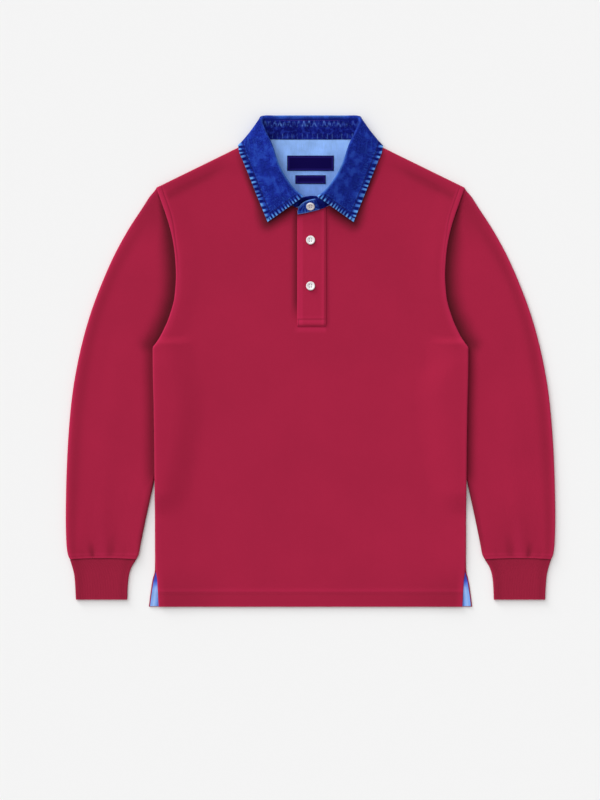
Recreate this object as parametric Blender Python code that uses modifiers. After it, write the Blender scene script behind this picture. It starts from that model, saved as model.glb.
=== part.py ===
"""Long-sleeve polo shirt, laid flat and face up, built from the pieces it is cut and sewn from.

The shirt lies on its back on the plane z = 0, with the neck towards +Y and the buttoned front
facing +Z. The origin is the middle of its outline, on the surface that it lies on. Lengths in the
tables are in millimetres, and points handed to Blender are in metres. Each table gives the half
of the shirt at +X; the other half mirrors it. Every cloth piece is a middle surface that a
Solidify modifier turns into a wall.
"""

import math
from collections import namedtuple

import bmesh
import bpy
import numpy as np

MM = 0.001

# Cloth thicknesses, and the clearance between two pieces that are sewn or lie together.
JERSEY = 1.4
RIB = 1.6
DENIM = 1.8
CHAMBRAY = 1.0
LABEL = 0.8
PLACKET_WALL = 2.0
SEAM_GAP = 0.3
LINING_GAP = 0.7

# Overall sizes of the cut.
HALF_CHEST = 252.0
HEM_Y = -392.0
SHOULDER = (246.4, 277.6)
NECK_POINT = (80.0, 361.5)
BENT_NECK_POINT = (83.0, 354.0)
COLLAR_SIDE = (113.5, 342.6)
BACK_NECK_Y = 358.0
SLOT_HALF = 17.5
SLOT_BOTTOM_Y = 62.0
TUBE = 6.4
ARMHOLE_TUBE = 4.8
ARMHOLE_LIFT = 1.7
SLEEVE_LIFT = 6.8
COLLAR_LIFT = 2.6

Section = namedtuple("Section", "name centre_y edge_x edge_y mid_h edge_h front_roll back_roll")
SECTIONS = [
    Section("hem", HEM_Y, 242.6, HEM_Y, 3.6, 4.6, 0.30, 0.0),
    Section("top of the hem", -372, 243.8, -372, 3.6, 4.8, 0.35, 0.0),
    Section("vent", -350, 245.0, -350, 3.7, 5.4, 0.50, 0.0),
    Section("top of the vent", -334, 247.2, -334, 3.7, 6.0, 0.95, 0.95),
    Section("hip", -300, 248.6, -300, 3.8, TUBE, 1.0, 1.0),
    Section("below the waist", -206, 248.8, -206, 3.9, TUBE, 1.0, 1.0),
    Section("waist", -150, 249.2, -150, 4.0, TUBE, 1.0, 1.0),
    Section("ribs", -75, 250.2, -75, 4.2, TUBE, 1.0, 1.0),
    Section("underarm", -15, 251.6, -18, 4.4, TUBE, 1.0, 1.0),
    Section("armpit", 25, HALF_CHEST, 20.4, 4.6, TUBE, 1.0, 1.0),
    Section("above the armpit", 38, 247.6, 27.8, 4.65, TUBE, 0.95, 0.75),
    Section("foot of the slit", SLOT_BOTTOM_Y, 240.0, 40, 4.7, TUBE, 0.85, 0.3),
    Section("low armhole", 105, 225.5, 72, 4.8, TUBE, 0.62, 0.0),
    Section("chest", 150, 217.0, 105, 5.0, TUBE, 0.62, 0.0),
    Section("inmost armhole", 197, 214.9, 137.8, 5.0, TUBE, 0.62, 0.0),
    Section("base of the neck", 241, 216.3, 166, 5.0, TUBE, 0.62, 0.0),
    Section("low neck", 252, 219.4, 190, 5.1, TUBE, 0.62, 0.0),
    Section("side of the neck", 272, 224.8, 214, 5.3, TUBE, 0.62, 0.0),
    Section("high neck", 298, 232.0, 237, 5.7, TUBE, 0.62, 0.0),
    Section("under the shoulder", 329, 239.4, 258, 6.0, TUBE, 0.62, 0.1),
    Section("shoulder", NECK_POINT[1], SHOULDER[0], SHOULDER[1], TUBE, TUBE, 0.62, 0.3),
]

# Where the front panel's sections start: on its slit, then along the neckline.
FrontStart = namedtuple("FrontStart", "x y")
FRONT_NECKLINE = {
    "base of the neck": FrontStart(SLOT_HALF, 240.5),
    "low neck": FrontStart(37.3, 252.6),
    "side of the neck": FrontStart(54.2, 271.9),
    "high neck": FrontStart(69.3, 297.9),
    "under the shoulder": FrontStart(79.0, 329.4),
    "shoulder": FrontStart(*NECK_POINT),
}

# The back's sections run through a guide point below the neck point, up to the straight neckline.
BackGuide = namedtuple("BackGuide", "centre_y guide_y")
BACK_GUIDES = {
    "base of the neck": BackGuide(238, 214),
    "low neck": BackGuide(266, 243),
    "side of the neck": BackGuide(293, 274),
    "high neck": BackGuide(318, 306),
    "under the shoulder": BackGuide(340, 335),
    "shoulder": BackGuide(BACK_NECK_Y, NECK_POINT[1]),
}
BACK_GUIDE_X = NECK_POINT[0]

# How far the back panel's vent edge swings out past the front's.
VENT_FLARE = {"hem": 16.6, "top of the hem": 13.0, "vent": 8.4, "top of the vent": 1.8}

# Each row runs across the sleeve, from its outer fold to the fold that the body mostly covers. bow
# bends the row towards the curve of the armhole, and turn squares it to the inner fold.
SleeveRow = namedtuple("SleeveRow", "outer_x outer_y inner_x inner_y bow turn")
SLEEVE = [
    SleeveRow(384.8, -314.6, 278.3, -314.6, 0.0, 0.0),
    SleeveRow(387.6, -308.5, 274.6, -307.5, 0.0, 0.0),
    SleeveRow(390.2, -291, 271.0, -290, 0.0, 0.0),
    SleeveRow(391.3, -250, 262.8, -250, 0.0, 0.0),
    SleeveRow(390.6, -200, 252.6, -203, 0.0, 0.0),
    SleeveRow(388.8, -150, 242.4, -158, 0.0, 0.0),
    SleeveRow(385.6, -100, 235.0, -112, 0.0, 0.0),
    SleeveRow(380.4, -50, 230.0, -76, 0.0, 0.3),
    SleeveRow(373.4, -8, 230.4, -48, 0.0, 0.6),
    SleeveRow(364.0, 34, 235.0, -28, 0.0, 0.9),
    SleeveRow(351.2, 78, 240.4, -13.5, 0.0, 1.0),
    SleeveRow(334.0, 124, 244.8, -2, 0.0, 1.0),
    SleeveRow(313.6, 170, 246.2, 4.0, 0.05, 1.0),
    SleeveRow(291.0, 211, 247.2, 11.0, 0.15, 1.0),
    SleeveRow(266.6, 248.6, 247.6, 17.4, 0.33, 1.0),
    SleeveRow(247.8, 278.6, 249.2, 29.4, 1.0, 0.0),
]

CuffRow = namedtuple("CuffRow", "outer_x inner_x y height")
CUFF = [
    CuffRow(384.6, 278.5, -315.0, 5.6),
    CuffRow(380.6, 286.4, -329.0, 5.2),
    CuffRow(377.6, 290.4, -343.0, 5.0),
    CuffRow(376.2, 292.2, -360.0, 4.9),
    CuffRow(375.2, 293.0, -380.6, 4.8),
]

INNER_FOLD_SIDE = (-0.93, -0.37)
TURN_REACH = 40.0

# The puckers where the sleeve is eased into its cuff: place across the sleeve, width and depth.
Pucker = namedtuple("Pucker", "across width depth reach")
PUCKERS = [
    Pucker(0.20, 0.055, 0.5, 26),
    Pucker(0.36, 0.060, 1.0, 40),
    Pucker(0.58, 0.060, 0.9, 46),
    Pucker(0.78, 0.055, 0.5, 30),
]

# The collar: its seam on the neckline, the top of the stand, and the outer edge of the leaf.
CollarStation = namedtuple("CollarStation", "seam_x seam_y seam_z top_x top_y top_z edge_x edge_y edge_z")
COLLAR = [
    CollarStation(0, 356.6, 5.4, 0, 386.2, 8.6, 0, 346.0, 0.95),
    CollarStation(30, 356.6, 5.4, 30, 386.2, 8.6, 38, 345.8, 0.95),
    CollarStation(56, 356.8, 5.6, 54, 386.0, 9.0, 74, 344.8, 1.00),
    CollarStation(71, 357.4, 7.0, 69.4, 386.2, 9.6, 97, 342.8, 1.00),
    CollarStation(78, 355.4, 8.8, 76.0, 384.6, 12.4, 108.4, 343.2, 1.4),
    CollarStation(82.4, 350.0, 10.4, 77.6, 376.4, 16.8, 115.0, 344.2, 6.2),
    CollarStation(82.6, 341.0, 11.0, 73.0, 361.0, 19.8, 113.6, 333.4, 11.2),
    CollarStation(80.6, 328.0, 9.9, 64.6, 341.6, 21.4, 106.6, 316.6, 9.6),
    CollarStation(71.0, 300.0, 8.2, 53.6, 310.6, 21.6, 96.4, 291.8, 8.4),
    CollarStation(55.6, 274.6, 7.6, 40.0, 286.2, 20.6, 86.6, 266.8, 7.6),
    CollarStation(38.4, 255.6, 8.4, 25.6, 268.0, 19.2, 77.0, 243.4, 7.2),
    CollarStation(25.0, 247.0, 9.0, 14.4, 259.6, 18.2, 68.6, 222.6, 7.0),
]
LEAF_RISE = 3.2
ROLL_RADIUS = 2.3

# The stand's two ends past the leaf: the end at +X laps over, and the one at -X lies under.
StandRow = namedtuple("StandRow", "seam_x seam_y seam_z top_x top_y top_z")
STAND_OVER = [
    StandRow(13.0, 242.2, 9.2, 6.0, 258.0, 19.4),
    StandRow(0.0, 239.0, 9.2, -4.6, 255.6, 19.6),
    StandRow(-11.0, 236.6, 9.2, -13.4, 251.4, 17.2),
    StandRow(-17.6, 235.4, 9.2, -18.6, 245.6, 14.0),
    StandRow(-20.6, 234.9, 9.2, -20.8, 239.4, 11.0),
]
STAND_UNDER = [
    StandRow(-14.0, 248.4, 7.6, -7.0, 262.0, 15.6),
    StandRow(-3.0, 249.4, 7.2, 1.0, 263.4, 15.0),
    StandRow(7.0, 250.4, 7.2, 8.6, 263.0, 14.6),
    StandRow(13.0, 251.6, 7.2, 13.6, 259.6, 12.0),
]

# The placket covers the slit, and its free edge is at -X.
PLACKET_LEFT = -21.3
PLACKET_RIGHT = 24.6
PLACKET_BOTTOM = 55.8
PLACKET_TOP_AT_LEFT = 235.2
PLACKET_TOP_SLOPE = 0.22

# The half-moon lining of the back neck is an ellipse cut off at the collar seam.
LINING_HALF_WIDTH = 88.0
LINING_CENTRE_Y = 318.0
LINING_HALF_HEIGHT = 106.0
LINING_TOP_Y = 354.6

# Labels sewn on the lining: centre and size.
Patch = namedtuple("Patch", "name y width height")
LABELS = [Patch("label_main", 316.6, 74.6, 24.2), Patch("label_small", 290.7, 48.6, 13.8)]

TAPE_INSET = 2.2
TAPE_WIDTH = 14.0
TAPE_TOP_Y = -347.0

BUTTON_RADIUS = 7.5
BUTTON_PROFILE = [(0, 2.1), (3.9, 2.1), (4.9, 2.9), (6.2, 3.1), (7.2, 2.5), (7.5, 1.6), (6.9, 0.5), (5.2, 0), (0, 0)]
BUTTON_STEPS = 18
BUTTON_HOLE_RADIUS = 0.75
BUTTON_HOLE_SPACING = 1.5
PLACKET_BUTTONS_Y = (193.6, 120.4)
STAND_BUTTON_SHARE = 0.56
STAND_BUTTON_X = 2.3
STAND_BUTTON_LEAN = math.radians(5)
STAND_BUTTON_CLEAR = 1.0

# Columns and rows of the cloth grids.
PANEL_COLUMNS = (0.0, 0.13, 0.27, 0.42, 0.57, 0.71, 0.83, 0.92, 1.0)
ROLL_ANGLES = (62.0, 34.0, 10.0)
FOLD_ANGLES = (-90.0, -45.0, 0.0, 45.0, 90.0)

CRIMSON = (0.366, 0.016, 0.054)
CRIMSON_RIB = (0.300, 0.015, 0.045)
INDIGO = (0.010, 0.024, 0.262)
SKY = (0.258, 0.434, 0.855)
NAVY = (0.005, 0.002, 0.062)
SHELL_WHITE = (0.80, 0.80, 0.78)


def ease(value):
    """0 to 1 with flat ends, held outside that range."""
    t = np.clip(value, 0.0, 1.0)
    return t * t * (3 - 2 * t)


def slopes(values):
    """The slope at each table row that keeps the curve through it from overshooting."""
    steps = np.diff(values)
    inner = np.zeros(len(values))
    same = steps[:-1] * steps[1:] > 0
    both = steps[:-1][same] * steps[1:][same]
    inner[1:-1][same] = 2 * both / (steps[:-1][same] + steps[1:][same])
    inner[0], inner[-1] = steps[0], steps[-1]
    return inner


def along(values, at):
    """A smooth curve through a table column, read at row numbers that may lie between rows."""
    values = np.asarray(values, float)
    at = np.clip(np.asarray(at, float), 0, len(values) - 1)
    row = np.minimum(at.astype(int), len(values) - 2)
    t = at - row
    start, end = values[row], values[row + 1]
    lean = slopes(values)
    return (
        start * (1 + 2 * t) * (1 - t) ** 2
        + lean[row] * t * (1 - t) ** 2
        + end * t * t * (3 - 2 * t)
        + lean[row + 1] * t * t * (t - 1)
    )


def column(table, name):
    return [getattr(row, name) for row in table]


def edge_x(y):
    """Half the front's width at a height y, along the side, the armhole and the shoulder."""
    ys = column(SECTIONS, "edge_y") + [NECK_POINT[1]]
    xs = column(SECTIONS, "edge_x") + [NECK_POINT[0]]
    return np.interp(y, ys, xs)


def below_shoulder(x, y):
    """Distance of a point from the line of the shoulder seam."""
    run, drop = SHOULDER[0] - NECK_POINT[0], NECK_POINT[1] - SHOULDER[1]
    return ((NECK_POINT[1] - y) * run - (np.abs(x) - NECK_POINT[0]) * drop) / math.hypot(run, drop)


def inner_sleeve_x(y):
    """Where the sleeve's inner fold runs under the body."""
    folds = [row for row in SLEEVE if row.inner_y < 0][::-1]
    ys = np.array(column(folds, "inner_y"))[::-1]
    xs = np.array(column(folds, "inner_x"))[::-1]
    return np.interp(y, ys, xs)


def lift(x, y):
    """Height of the body's underside over the surface: it lies on the sleeves and on the collar."""
    x = np.abs(x)
    over_sleeve = ease((x - inner_sleeve_x(y) + 66) / 52)
    over_sleeve = over_sleeve * ease((y + 250) / 44)
    over_sleeve = over_sleeve * (1 - 0.2 * ease((y + 10) / 28) - 0.8 * ease((y - 28) / 12))
    at_armhole = ease((x - edge_x(y) + 44) / 34) * ease((y - 10) / 20)
    over_collar = ease((y - 296) / 38) * (1 - ease((x - 118) / 46))
    return np.maximum(
        np.maximum(SLEEVE_LIFT * over_sleeve, ARMHOLE_LIFT * at_armhole), COLLAR_LIFT * over_collar
    )


def body_height(x, y):
    """Thickness of the flattened body, from the back's underside to the front's outer face."""
    ys = column(SECTIONS, "edge_y")
    mid = np.interp(y, column(SECTIONS, "centre_y"), column(SECTIONS, "mid_h"))
    edge = np.interp(y, ys, column(SECTIONS, "edge_h"))
    near_side = 1 - ease((edge_x(y) - np.abs(x) - 6) / 64)
    near_shoulder = 1 - ease((below_shoulder(x, y) - 6) / 44)
    return mid + (edge - mid) * np.maximum(near_side, near_shoulder)


def back_top(x, y):
    return lift(x, y) + JERSEY


def front_top(x, y):
    return lift(x, y) + body_height(x, y)


def material(name, colour, roughness):
    """A plain finish in the piece's colour."""
    made = bpy.data.materials.new(name)
    made.use_nodes = True
    shader = made.node_tree.nodes["Principled BSDF"]
    shader.inputs["Base Color"].default_value = (*colour, 1.0)
    shader.inputs["Roughness"].default_value = roughness
    shader.inputs["Metallic"].default_value = 0.0
    made.diffuse_color = (*colour, 1.0)
    return made


def grid_object(name, points, wall, finish, closed=False, removed=()):
    """A cloth piece: a grid laid on rows of points in millimetres, then given its wall.

    closed joins the last column to the first, as in a tube. removed lists (row, column) of the
    grid's faces that the cut leaves out.
    """
    points = np.asarray(points, float)
    rows, columns = points.shape[:2]
    bpy.ops.mesh.primitive_grid_add(x_subdivisions=columns - 1, y_subdivisions=rows - 1, size=1)
    piece = bpy.context.object
    piece.name = piece.data.name = name
    mesh = bmesh.new()
    mesh.from_mesh(piece.data)
    mesh.verts.ensure_lookup_table()
    for vertex, place in zip(mesh.verts, points.reshape(-1, 3) * MM):
        vertex.co = place
    if removed:
        gone = {row * (columns - 1) + place for row, place in removed}
        mesh.faces.ensure_lookup_table()
        faces = [face for face in mesh.faces if face.index in gone]
        bmesh.ops.delete(mesh, geom=faces, context="FACES")
    if closed:
        bmesh.ops.remove_doubles(mesh, verts=mesh.verts, dist=0.00001)
        bmesh.ops.recalc_face_normals(mesh, faces=mesh.faces)
    mesh.to_mesh(piece.data)
    mesh.free()
    solidify = piece.modifiers.new("wall", "SOLIDIFY")
    solidify.thickness = wall * MM
    solidify.offset = 0.0
    piece.data.materials.append(finish)
    piece.data.shade_smooth()
    piece.data.set_sharp_from_angle(angle=math.radians(50))
    return piece


def panel_rows():
    """Row numbers in SECTIONS at which the body panels have a row of points."""
    halves = {"armpit", "foot of the slit", "low armhole", "chest"}
    rows = []
    for number, section in enumerate(SECTIONS[:-1]):
        rows.append(float(number))
        if section.name in halves:
            rows.append(number + 0.5)
    return rows


def roll(radius, angle):
    """How far in from a fold, and how far down its top, a point on the fold lies."""
    return radius * (1 - math.cos(math.radians(angle))), radius * (1 - math.sin(math.radians(angle)))


def row_line(stops, spacing):
    """Points at shares of a line through two or three plan points."""
    stops = np.asarray(stops, float)
    lengths = np.concatenate([[0], np.cumsum(np.linalg.norm(np.diff(stops, axis=0), axis=1))])
    at = np.asarray(spacing) * lengths[-1]
    return np.stack([np.interp(at, lengths, stops[:, k]) for k in (0, 1)], axis=1)


def half_panel_row(stops, at, front):
    """One row of half a body panel, from its start to the folded edge at the side."""
    radius = (float(along(column(SECTIONS, "edge_h"), at)) - JERSEY) / 2
    turn = float(along(column(SECTIONS, "front_roll" if front else "back_roll"), at))
    stops = np.asarray(stops, float)
    inward = stops[-2] - stops[-1]
    inward /= np.linalg.norm(inward)
    flat_end = stops[-1] + inward * (JERSEY / 2 + radius)
    plan = row_line([*stops[:-1], flat_end], PANEL_COLUMNS)
    points = [(x, y, 0.0) for x, y in plan]
    for angle in ROLL_ANGLES:
        in_from_edge, down = roll(radius, angle)
        place = stops[-1] + inward * (JERSEY / 2 + in_from_edge)
        points.append((place[0], place[1], down * turn))
    return points


def finish_panel(rows, front):
    """Adds the folded rows at the shoulder, sets each point's height and mirrors the half."""
    rows = np.array(rows)
    top = rows[-1]
    radius = (TUBE - JERSEY) / 2
    inward = rows[-2, :, :2] - top[:, :2]
    inward /= np.linalg.norm(inward, axis=1, keepdims=True)
    on_seam = ease((top[:, 0] - NECK_POINT[0] + 6) / 6) if not front else np.ones(len(top))
    folded = []
    for angle in (90.0, *ROLL_ANGLES):
        in_from_edge, down = roll(radius, angle)
        row = top.copy()
        row[:, :2] += inward * (JERSEY / 2 + in_from_edge)
        row[:, 2] = np.maximum(top[:, 2], down * on_seam)
        folded.append(row)
    rows = np.concatenate([rows[:-1], folded])
    x, y, turned = rows[..., 0], rows[..., 1], rows[..., 2]
    if front:
        z = front_top(x, y) - JERSEY / 2 - turned
    else:
        z = lift(x, y) + JERSEY / 2 + turned
    half = np.stack([x, y, z], axis=-1)
    mirrored = half[:, ::-1] * np.array([-1, 1, 1])
    return np.concatenate([mirrored, half if front else half[:, 1:]], axis=1)


def front_panel(finish):
    """The front, cut with a slit for the placket from the neck to the chest."""
    rows, slit_row = [], None
    names = column(SECTIONS, "name")
    starts_x = [FRONT_NECKLINE[n].x if n in FRONT_NECKLINE else SLOT_HALF for n in names]
    starts_y = [FRONT_NECKLINE[s.name].y if s.name in FRONT_NECKLINE else s.centre_y for s in SECTIONS]
    numbers = [*panel_rows(), float(len(SECTIONS) - 1)]
    for index, at in enumerate(numbers):
        start = (float(along(starts_x, at)), float(along(starts_y, at)))
        edge = (float(along(column(SECTIONS, "edge_x"), at)), float(along(column(SECTIONS, "edge_y"), at)))
        bend = [BENT_NECK_POINT, COLLAR_SIDE] if at == len(SECTIONS) - 1 else [start]
        rows.append(half_panel_row([*bend, edge], at, True))
        if at == names.index("foot of the slit"):
            slit_row = index
    points = finish_panel(rows, True)
    middle = points.shape[1] // 2 - 1
    slit = [(row, middle) for row in range(slit_row, points.shape[0] - 1)]
    return grid_object("front", points, JERSEY, finish, removed=slit)


def back_panel(finish):
    """The back, whose vent edges swing out past the front's."""
    rows = []
    names = column(SECTIONS, "name")
    centres = [BACK_GUIDES[s.name].centre_y if s.name in BACK_GUIDES else s.centre_y for s in SECTIONS]
    flare = [VENT_FLARE.get(name, 0.0) for name in names]
    guides = []
    for section, centre in zip(SECTIONS, centres):
        level = centre + (section.edge_y - centre) * BACK_GUIDE_X / section.edge_x
        guides.append(BACK_GUIDES[section.name].guide_y if section.name in BACK_GUIDES else level)
    for at in [*panel_rows(), float(len(SECTIONS) - 1)]:
        start = (0.0, float(along(centres, at)))
        guide = (BACK_GUIDE_X, float(along(guides, at)))
        edge = (
            float(along(column(SECTIONS, "edge_x"), at)) + float(along(flare, at)),
            float(along(column(SECTIONS, "edge_y"), at)),
        )
        bend = [BENT_NECK_POINT, COLLAR_SIDE] if at == len(SECTIONS) - 1 else [guide]
        rows.append(half_panel_row([start, *bend, edge], at, False))
    return grid_object("back", finish_panel(rows, False), JERSEY, finish)


def armhole_bow(share):
    """How far the sleeve's head lies in from the straight line between its two ends.

    It follows the armhole, and is tucked under the front's edge except near the two ends.
    """
    top, foot = SLEEVE[-1], SLEEVE[-1]
    start = np.array([top.outer_x, top.outer_y])
    end = np.array([foot.inner_x, foot.inner_y])
    chord = end - start
    length = np.linalg.norm(chord)
    across = np.array([chord[1], -chord[0]]) / length
    seam = [s for s in SECTIONS if s.edge_y >= SECTIONS[9].edge_y][::-1]
    tuck_in = 5.0
    outside = 0.6
    at, bow = [0.0], [0.0]
    for section in seam:
        tuck = tuck_in * ease((section.edge_y - 42) / 26) * (1 - ease((section.edge_y - 240) / 26))
        point = np.array([section.edge_x + outside - tuck * (1 + outside / tuck_in), section.edge_y])
        place = (point - start) @ chord / length**2
        if 0.03 < place < 0.97:
            at.append(place)
            bow.append((point - start) @ across)
    return np.interp(share, [*at, 1.0], [*bow, 0.0])


def tube_ring(outer, inner, bow, turn, height, wall, shape):
    """One ring of a flattened tube: the upper layer, two folds and the flat lower layer."""
    outer, inner = np.asarray(outer, float), np.asarray(inner, float)
    length = np.linalg.norm(inner - outer)
    direction = (inner - outer) / length
    across = np.array([direction[1], -direction[0]])
    radius = (height - wall) / 2

    square = np.array(INNER_FOLD_SIDE)

    def straight(distance):
        share = distance / length
        fade = ease((1 - share) / 0.3) ** (2 * (1 - bow))
        return outer + direction * distance + across * bow * fade * armhole_bow(share)

    def place(distance):
        left = length - distance
        if left >= TURN_REACH:
            return straight(distance)
        t = 1 - left / TURN_REACH
        start = straight(length - TURN_REACH)
        middle = straight(length - TURN_REACH / 2) * (1 - turn)
        middle = middle + (inner - square * TURN_REACH / 2) * turn
        return start * (1 - t) ** 2 + 2 * middle * t * (1 - t) + inner * t**2

    ring = []
    for angle in FOLD_ANGLES:
        inset = wall / 2 + roll(radius, abs(angle))[0]
        ring.append((*place(inset), height / 2 + radius * math.sin(math.radians(angle))))
    flat = length - wall - 2 * radius
    for share in 1 - (1 - np.linspace(0, 1, 13)[1:-1]) ** 1.25:
        distance = wall / 2 + radius + flat * share
        ring.append((*place(distance), height - wall / 2 - shape(distance / length)))
    for angle in FOLD_ANGLES[::-1]:
        inset = length - wall / 2 - roll(radius, abs(angle))[0]
        ring.append((*place(inset), height / 2 + radius * math.sin(math.radians(angle))))
    for share in 1 - np.linspace(0, 1, 8)[1:-1] ** 1.25:
        distance = wall / 2 + radius + flat * share
        ring.append((*place(distance), wall / 2))
    return ring + ring[:1]


def sleeve(name, side, finish):
    """A sleeve: a flattened tube from the armhole to the cuff, which the body partly covers."""
    last = len(SLEEVE) - 1
    numbers = [0, 0.5, 1, 1.5, 2, 2.5, 3, 3.5, 4, 4.5, 5, 5.5, 6, 7, 8, 9, 10, 11, 12, 13, 14, last]
    rings = []
    for at in numbers:
        outer_x, outer_y, inner_x, inner_y, bow, turn = (
            float(along(column(SLEEVE, field), at)) for field in SleeveRow._fields
        )
        head = float(ease((at - 9.5) / 4.0))
        height = TUBE - (TUBE - ARMHOLE_TUBE) * head
        if at < 1:
            height -= (TUBE - CUFF[0].height) * (1 - at)
        up = outer_y - SLEEVE[0].outer_y

        def shape(share, up=up, head=head):
            sag = 0.7 * math.sin(math.pi * share) * (1 - head)
            for pucker in PUCKERS:
                near = (share - pucker.across) / pucker.width
                sag += pucker.depth * math.exp(-near * near) * float(1 - ease(up / pucker.reach)) * min(1, up / 6 + 0.3)
            return sag

        rings.append(tube_ring((outer_x, outer_y), (inner_x, inner_y), bow, turn, height, JERSEY, shape))
    rings = np.array(rings) * np.array([side, 1, 1])
    return grid_object(name, rings, JERSEY, finish, closed=True)


def cuff(name, side, finish):
    """A ribbed cuff: a short flattened tube that narrows below the sleeve's end."""
    rings = []
    for at in (0, 0.5, 1, 2, 3, 4):
        outer_x, inner_x, y, height = (float(along(column(CUFF, field), at)) for field in CuffRow._fields)
        rings.append(
            tube_ring((outer_x, y), (inner_x, y), 0.0, 0.0, height, RIB, lambda share: 0.3 * math.sin(math.pi * share))
        )
    rings = np.array(rings) * np.array([side, 1, 1])
    return grid_object(name, rings, RIB, finish, closed=True)


def collar_points(field, numbers):
    return np.stack([along(column(COLLAR, f"{field}_{axis}"), numbers) for axis in "xyz"], axis=1)


def unit(vectors):
    return vectors / np.linalg.norm(vectors, axis=-1, keepdims=True)


def collar_half():
    """The seam, stand top and leaf edge of half the collar, and the directions of its roll."""
    numbers = np.linspace(0, len(COLLAR) - 1, 2 * (len(COLLAR) - 1) + 1)
    seam, top, edge = (collar_points(field, numbers) for field in ("seam", "top", "edge"))
    up = unit(top - seam)
    run = unit(np.gradient(top, axis=0))
    outward = unit(np.cross(up, run))
    return seam, top, edge, up, outward


def leaf(finish):
    """The collar leaf: it rises from the stand, rolls over and lies down to its outer edge."""
    seam, top, edge, up, outward = collar_half()
    columns = [top + up * (SEAM_GAP + 0.5), top + up * LEAF_RISE]
    centre = top + up * LEAF_RISE + outward * ROLL_RADIUS
    for angle in (36, 72, 108, 144, 180):
        turn = math.radians(angle)
        columns.append(centre + ROLL_RADIUS * (math.sin(turn) * up - math.cos(turn) * outward))
    start = columns[-1]
    towards = start + (edge - start) * 0.36
    arrive = edge + (towards - edge) * np.array([0.45, 0.45, 0.08])
    for share in (0.14, 0.32, 0.55, 0.8, 1.0):
        columns.append(
            start * (1 - share) ** 3
            + 3 * towards * share * (1 - share) ** 2
            + 3 * arrive * share**2 * (1 - share)
            + edge * share**3
        )
    half = np.stack(columns, axis=1)
    mirrored = half[:0:-1] * np.array([-1, 1, 1])
    return grid_object("collar_leaf", np.concatenate([mirrored, half]), DENIM, finish)


def stand(finish):
    """The collar stand: a band from the end that lies under, round the neck, to the lapping end."""
    seam, top, _, _, _ = collar_half()
    flip = np.array([-1, 1, 1])

    def ends(table):
        bottoms = np.array([(row.seam_x, row.seam_y, row.seam_z) for row in table])
        tops = np.array([(row.top_x, row.top_y, row.top_z) for row in table])
        return bottoms, tops

    over_seam, over_top = ends(STAND_OVER)
    under_seam, under_top = ends(STAND_UNDER)
    seams = np.concatenate([under_seam[::-1], seam[:0:-1] * flip, seam, over_seam])
    tops = np.concatenate([under_top[::-1], top[:0:-1] * flip, top, over_top])
    columns = [seams + (tops - seams) * share for share in (0.0, 0.34, 0.67, 1.0)]
    return grid_object("collar_stand", np.stack(columns, axis=1), DENIM, finish)


def patch_points(left, right, ys, columns, height):
    """Rows of points over a panel, at a height function of x and y."""
    rows = []
    for y, x0, x1 in zip(ys, left, right):
        xs = np.linspace(x0, x1, columns)
        rows.append([(x, y, float(height(x, y))) for x in xs])
    return rows


def placket_under(finish):
    """The buttoned strip in the slit, at the level of the front."""
    ys = np.linspace(SLOT_BOTTOM_Y + SEAM_GAP, 239.6, 12)
    side = SLOT_HALF - 0.5
    level = patch_points([-side] * 12, [side] * 12, ys, 3, lambda x, y: front_top(x, y) - JERSEY / 2)
    return grid_object("placket_under", level, JERSEY, finish)


def placket_top_y(x):
    return PLACKET_TOP_AT_LEFT + PLACKET_TOP_SLOPE * (x - PLACKET_LEFT)


def placket_surface(x, y):
    """The outer face of the placket."""
    return front_top(x, y) + SEAM_GAP + PLACKET_WALL


def placket_over(finish):
    """The lapping strip with the buttonholes, laid over the slit and the front."""
    rows = []
    for share in np.linspace(0, 1, 13):
        row = []
        for x in np.linspace(PLACKET_LEFT, PLACKET_RIGHT, 5):
            y = PLACKET_BOTTOM + (placket_top_y(x) - PLACKET_BOTTOM) * share
            row.append((x, y, float(placket_surface(x, y)) - PLACKET_WALL / 2))
        rows.append(row)
    return grid_object("placket_over", rows, PLACKET_WALL, finish)


def lining_surface(x, y):
    """The face of the half-moon lining that shows through the neck."""
    return back_top(x, y) + LINING_GAP + CHAMBRAY


def lining(finish):
    """The half-moon lining inside the back neck."""
    top_angle = math.asin((LINING_TOP_Y - LINING_CENTRE_Y) / LINING_HALF_HEIGHT)
    angles = np.linspace(math.radians(-80), top_angle, 12)
    ys = LINING_CENTRE_Y + LINING_HALF_HEIGHT * np.sin(angles)
    half = LINING_HALF_WIDTH * np.cos(angles)
    rows = patch_points(-half, half, ys, 12, lambda x, y: lining_surface(x, y) - CHAMBRAY / 2)
    return grid_object("neck_lining", rows, CHAMBRAY, finish)


def label(patch, finish):
    """A woven label sewn flat on the lining."""
    ys = patch.y + np.linspace(-0.5, 0.5, 3) * patch.height
    half = patch.width / 2
    rows = patch_points(
        [-half] * 3, [half] * 3, ys, 5, lambda x, y: lining_surface(x, y) + SEAM_GAP + 0.2 + LABEL / 2
    )
    return grid_object(patch.name, rows, LABEL, finish)


def vent_tape(name, side, finish):
    """The tape that faces the inside of the back panel along a side vent."""
    flare_y = [s.edge_y for s in SECTIONS if s.name in VENT_FLARE]
    flare = [VENT_FLARE[s.name] for s in SECTIONS if s.name in VENT_FLARE]
    ys = np.linspace(HEM_Y + 0.8, TAPE_TOP_Y, 6)
    outer = edge_x(ys) + np.interp(ys, flare_y, flare) - TAPE_INSET
    height = lambda x, y: back_top(x, y) + SEAM_GAP + CHAMBRAY / 2
    rows = patch_points(outer - TAPE_WIDTH, outer, ys, 4, height)
    return grid_object(name, np.array(rows) * np.array([side, 1, 1]), CHAMBRAY, finish)


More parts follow.
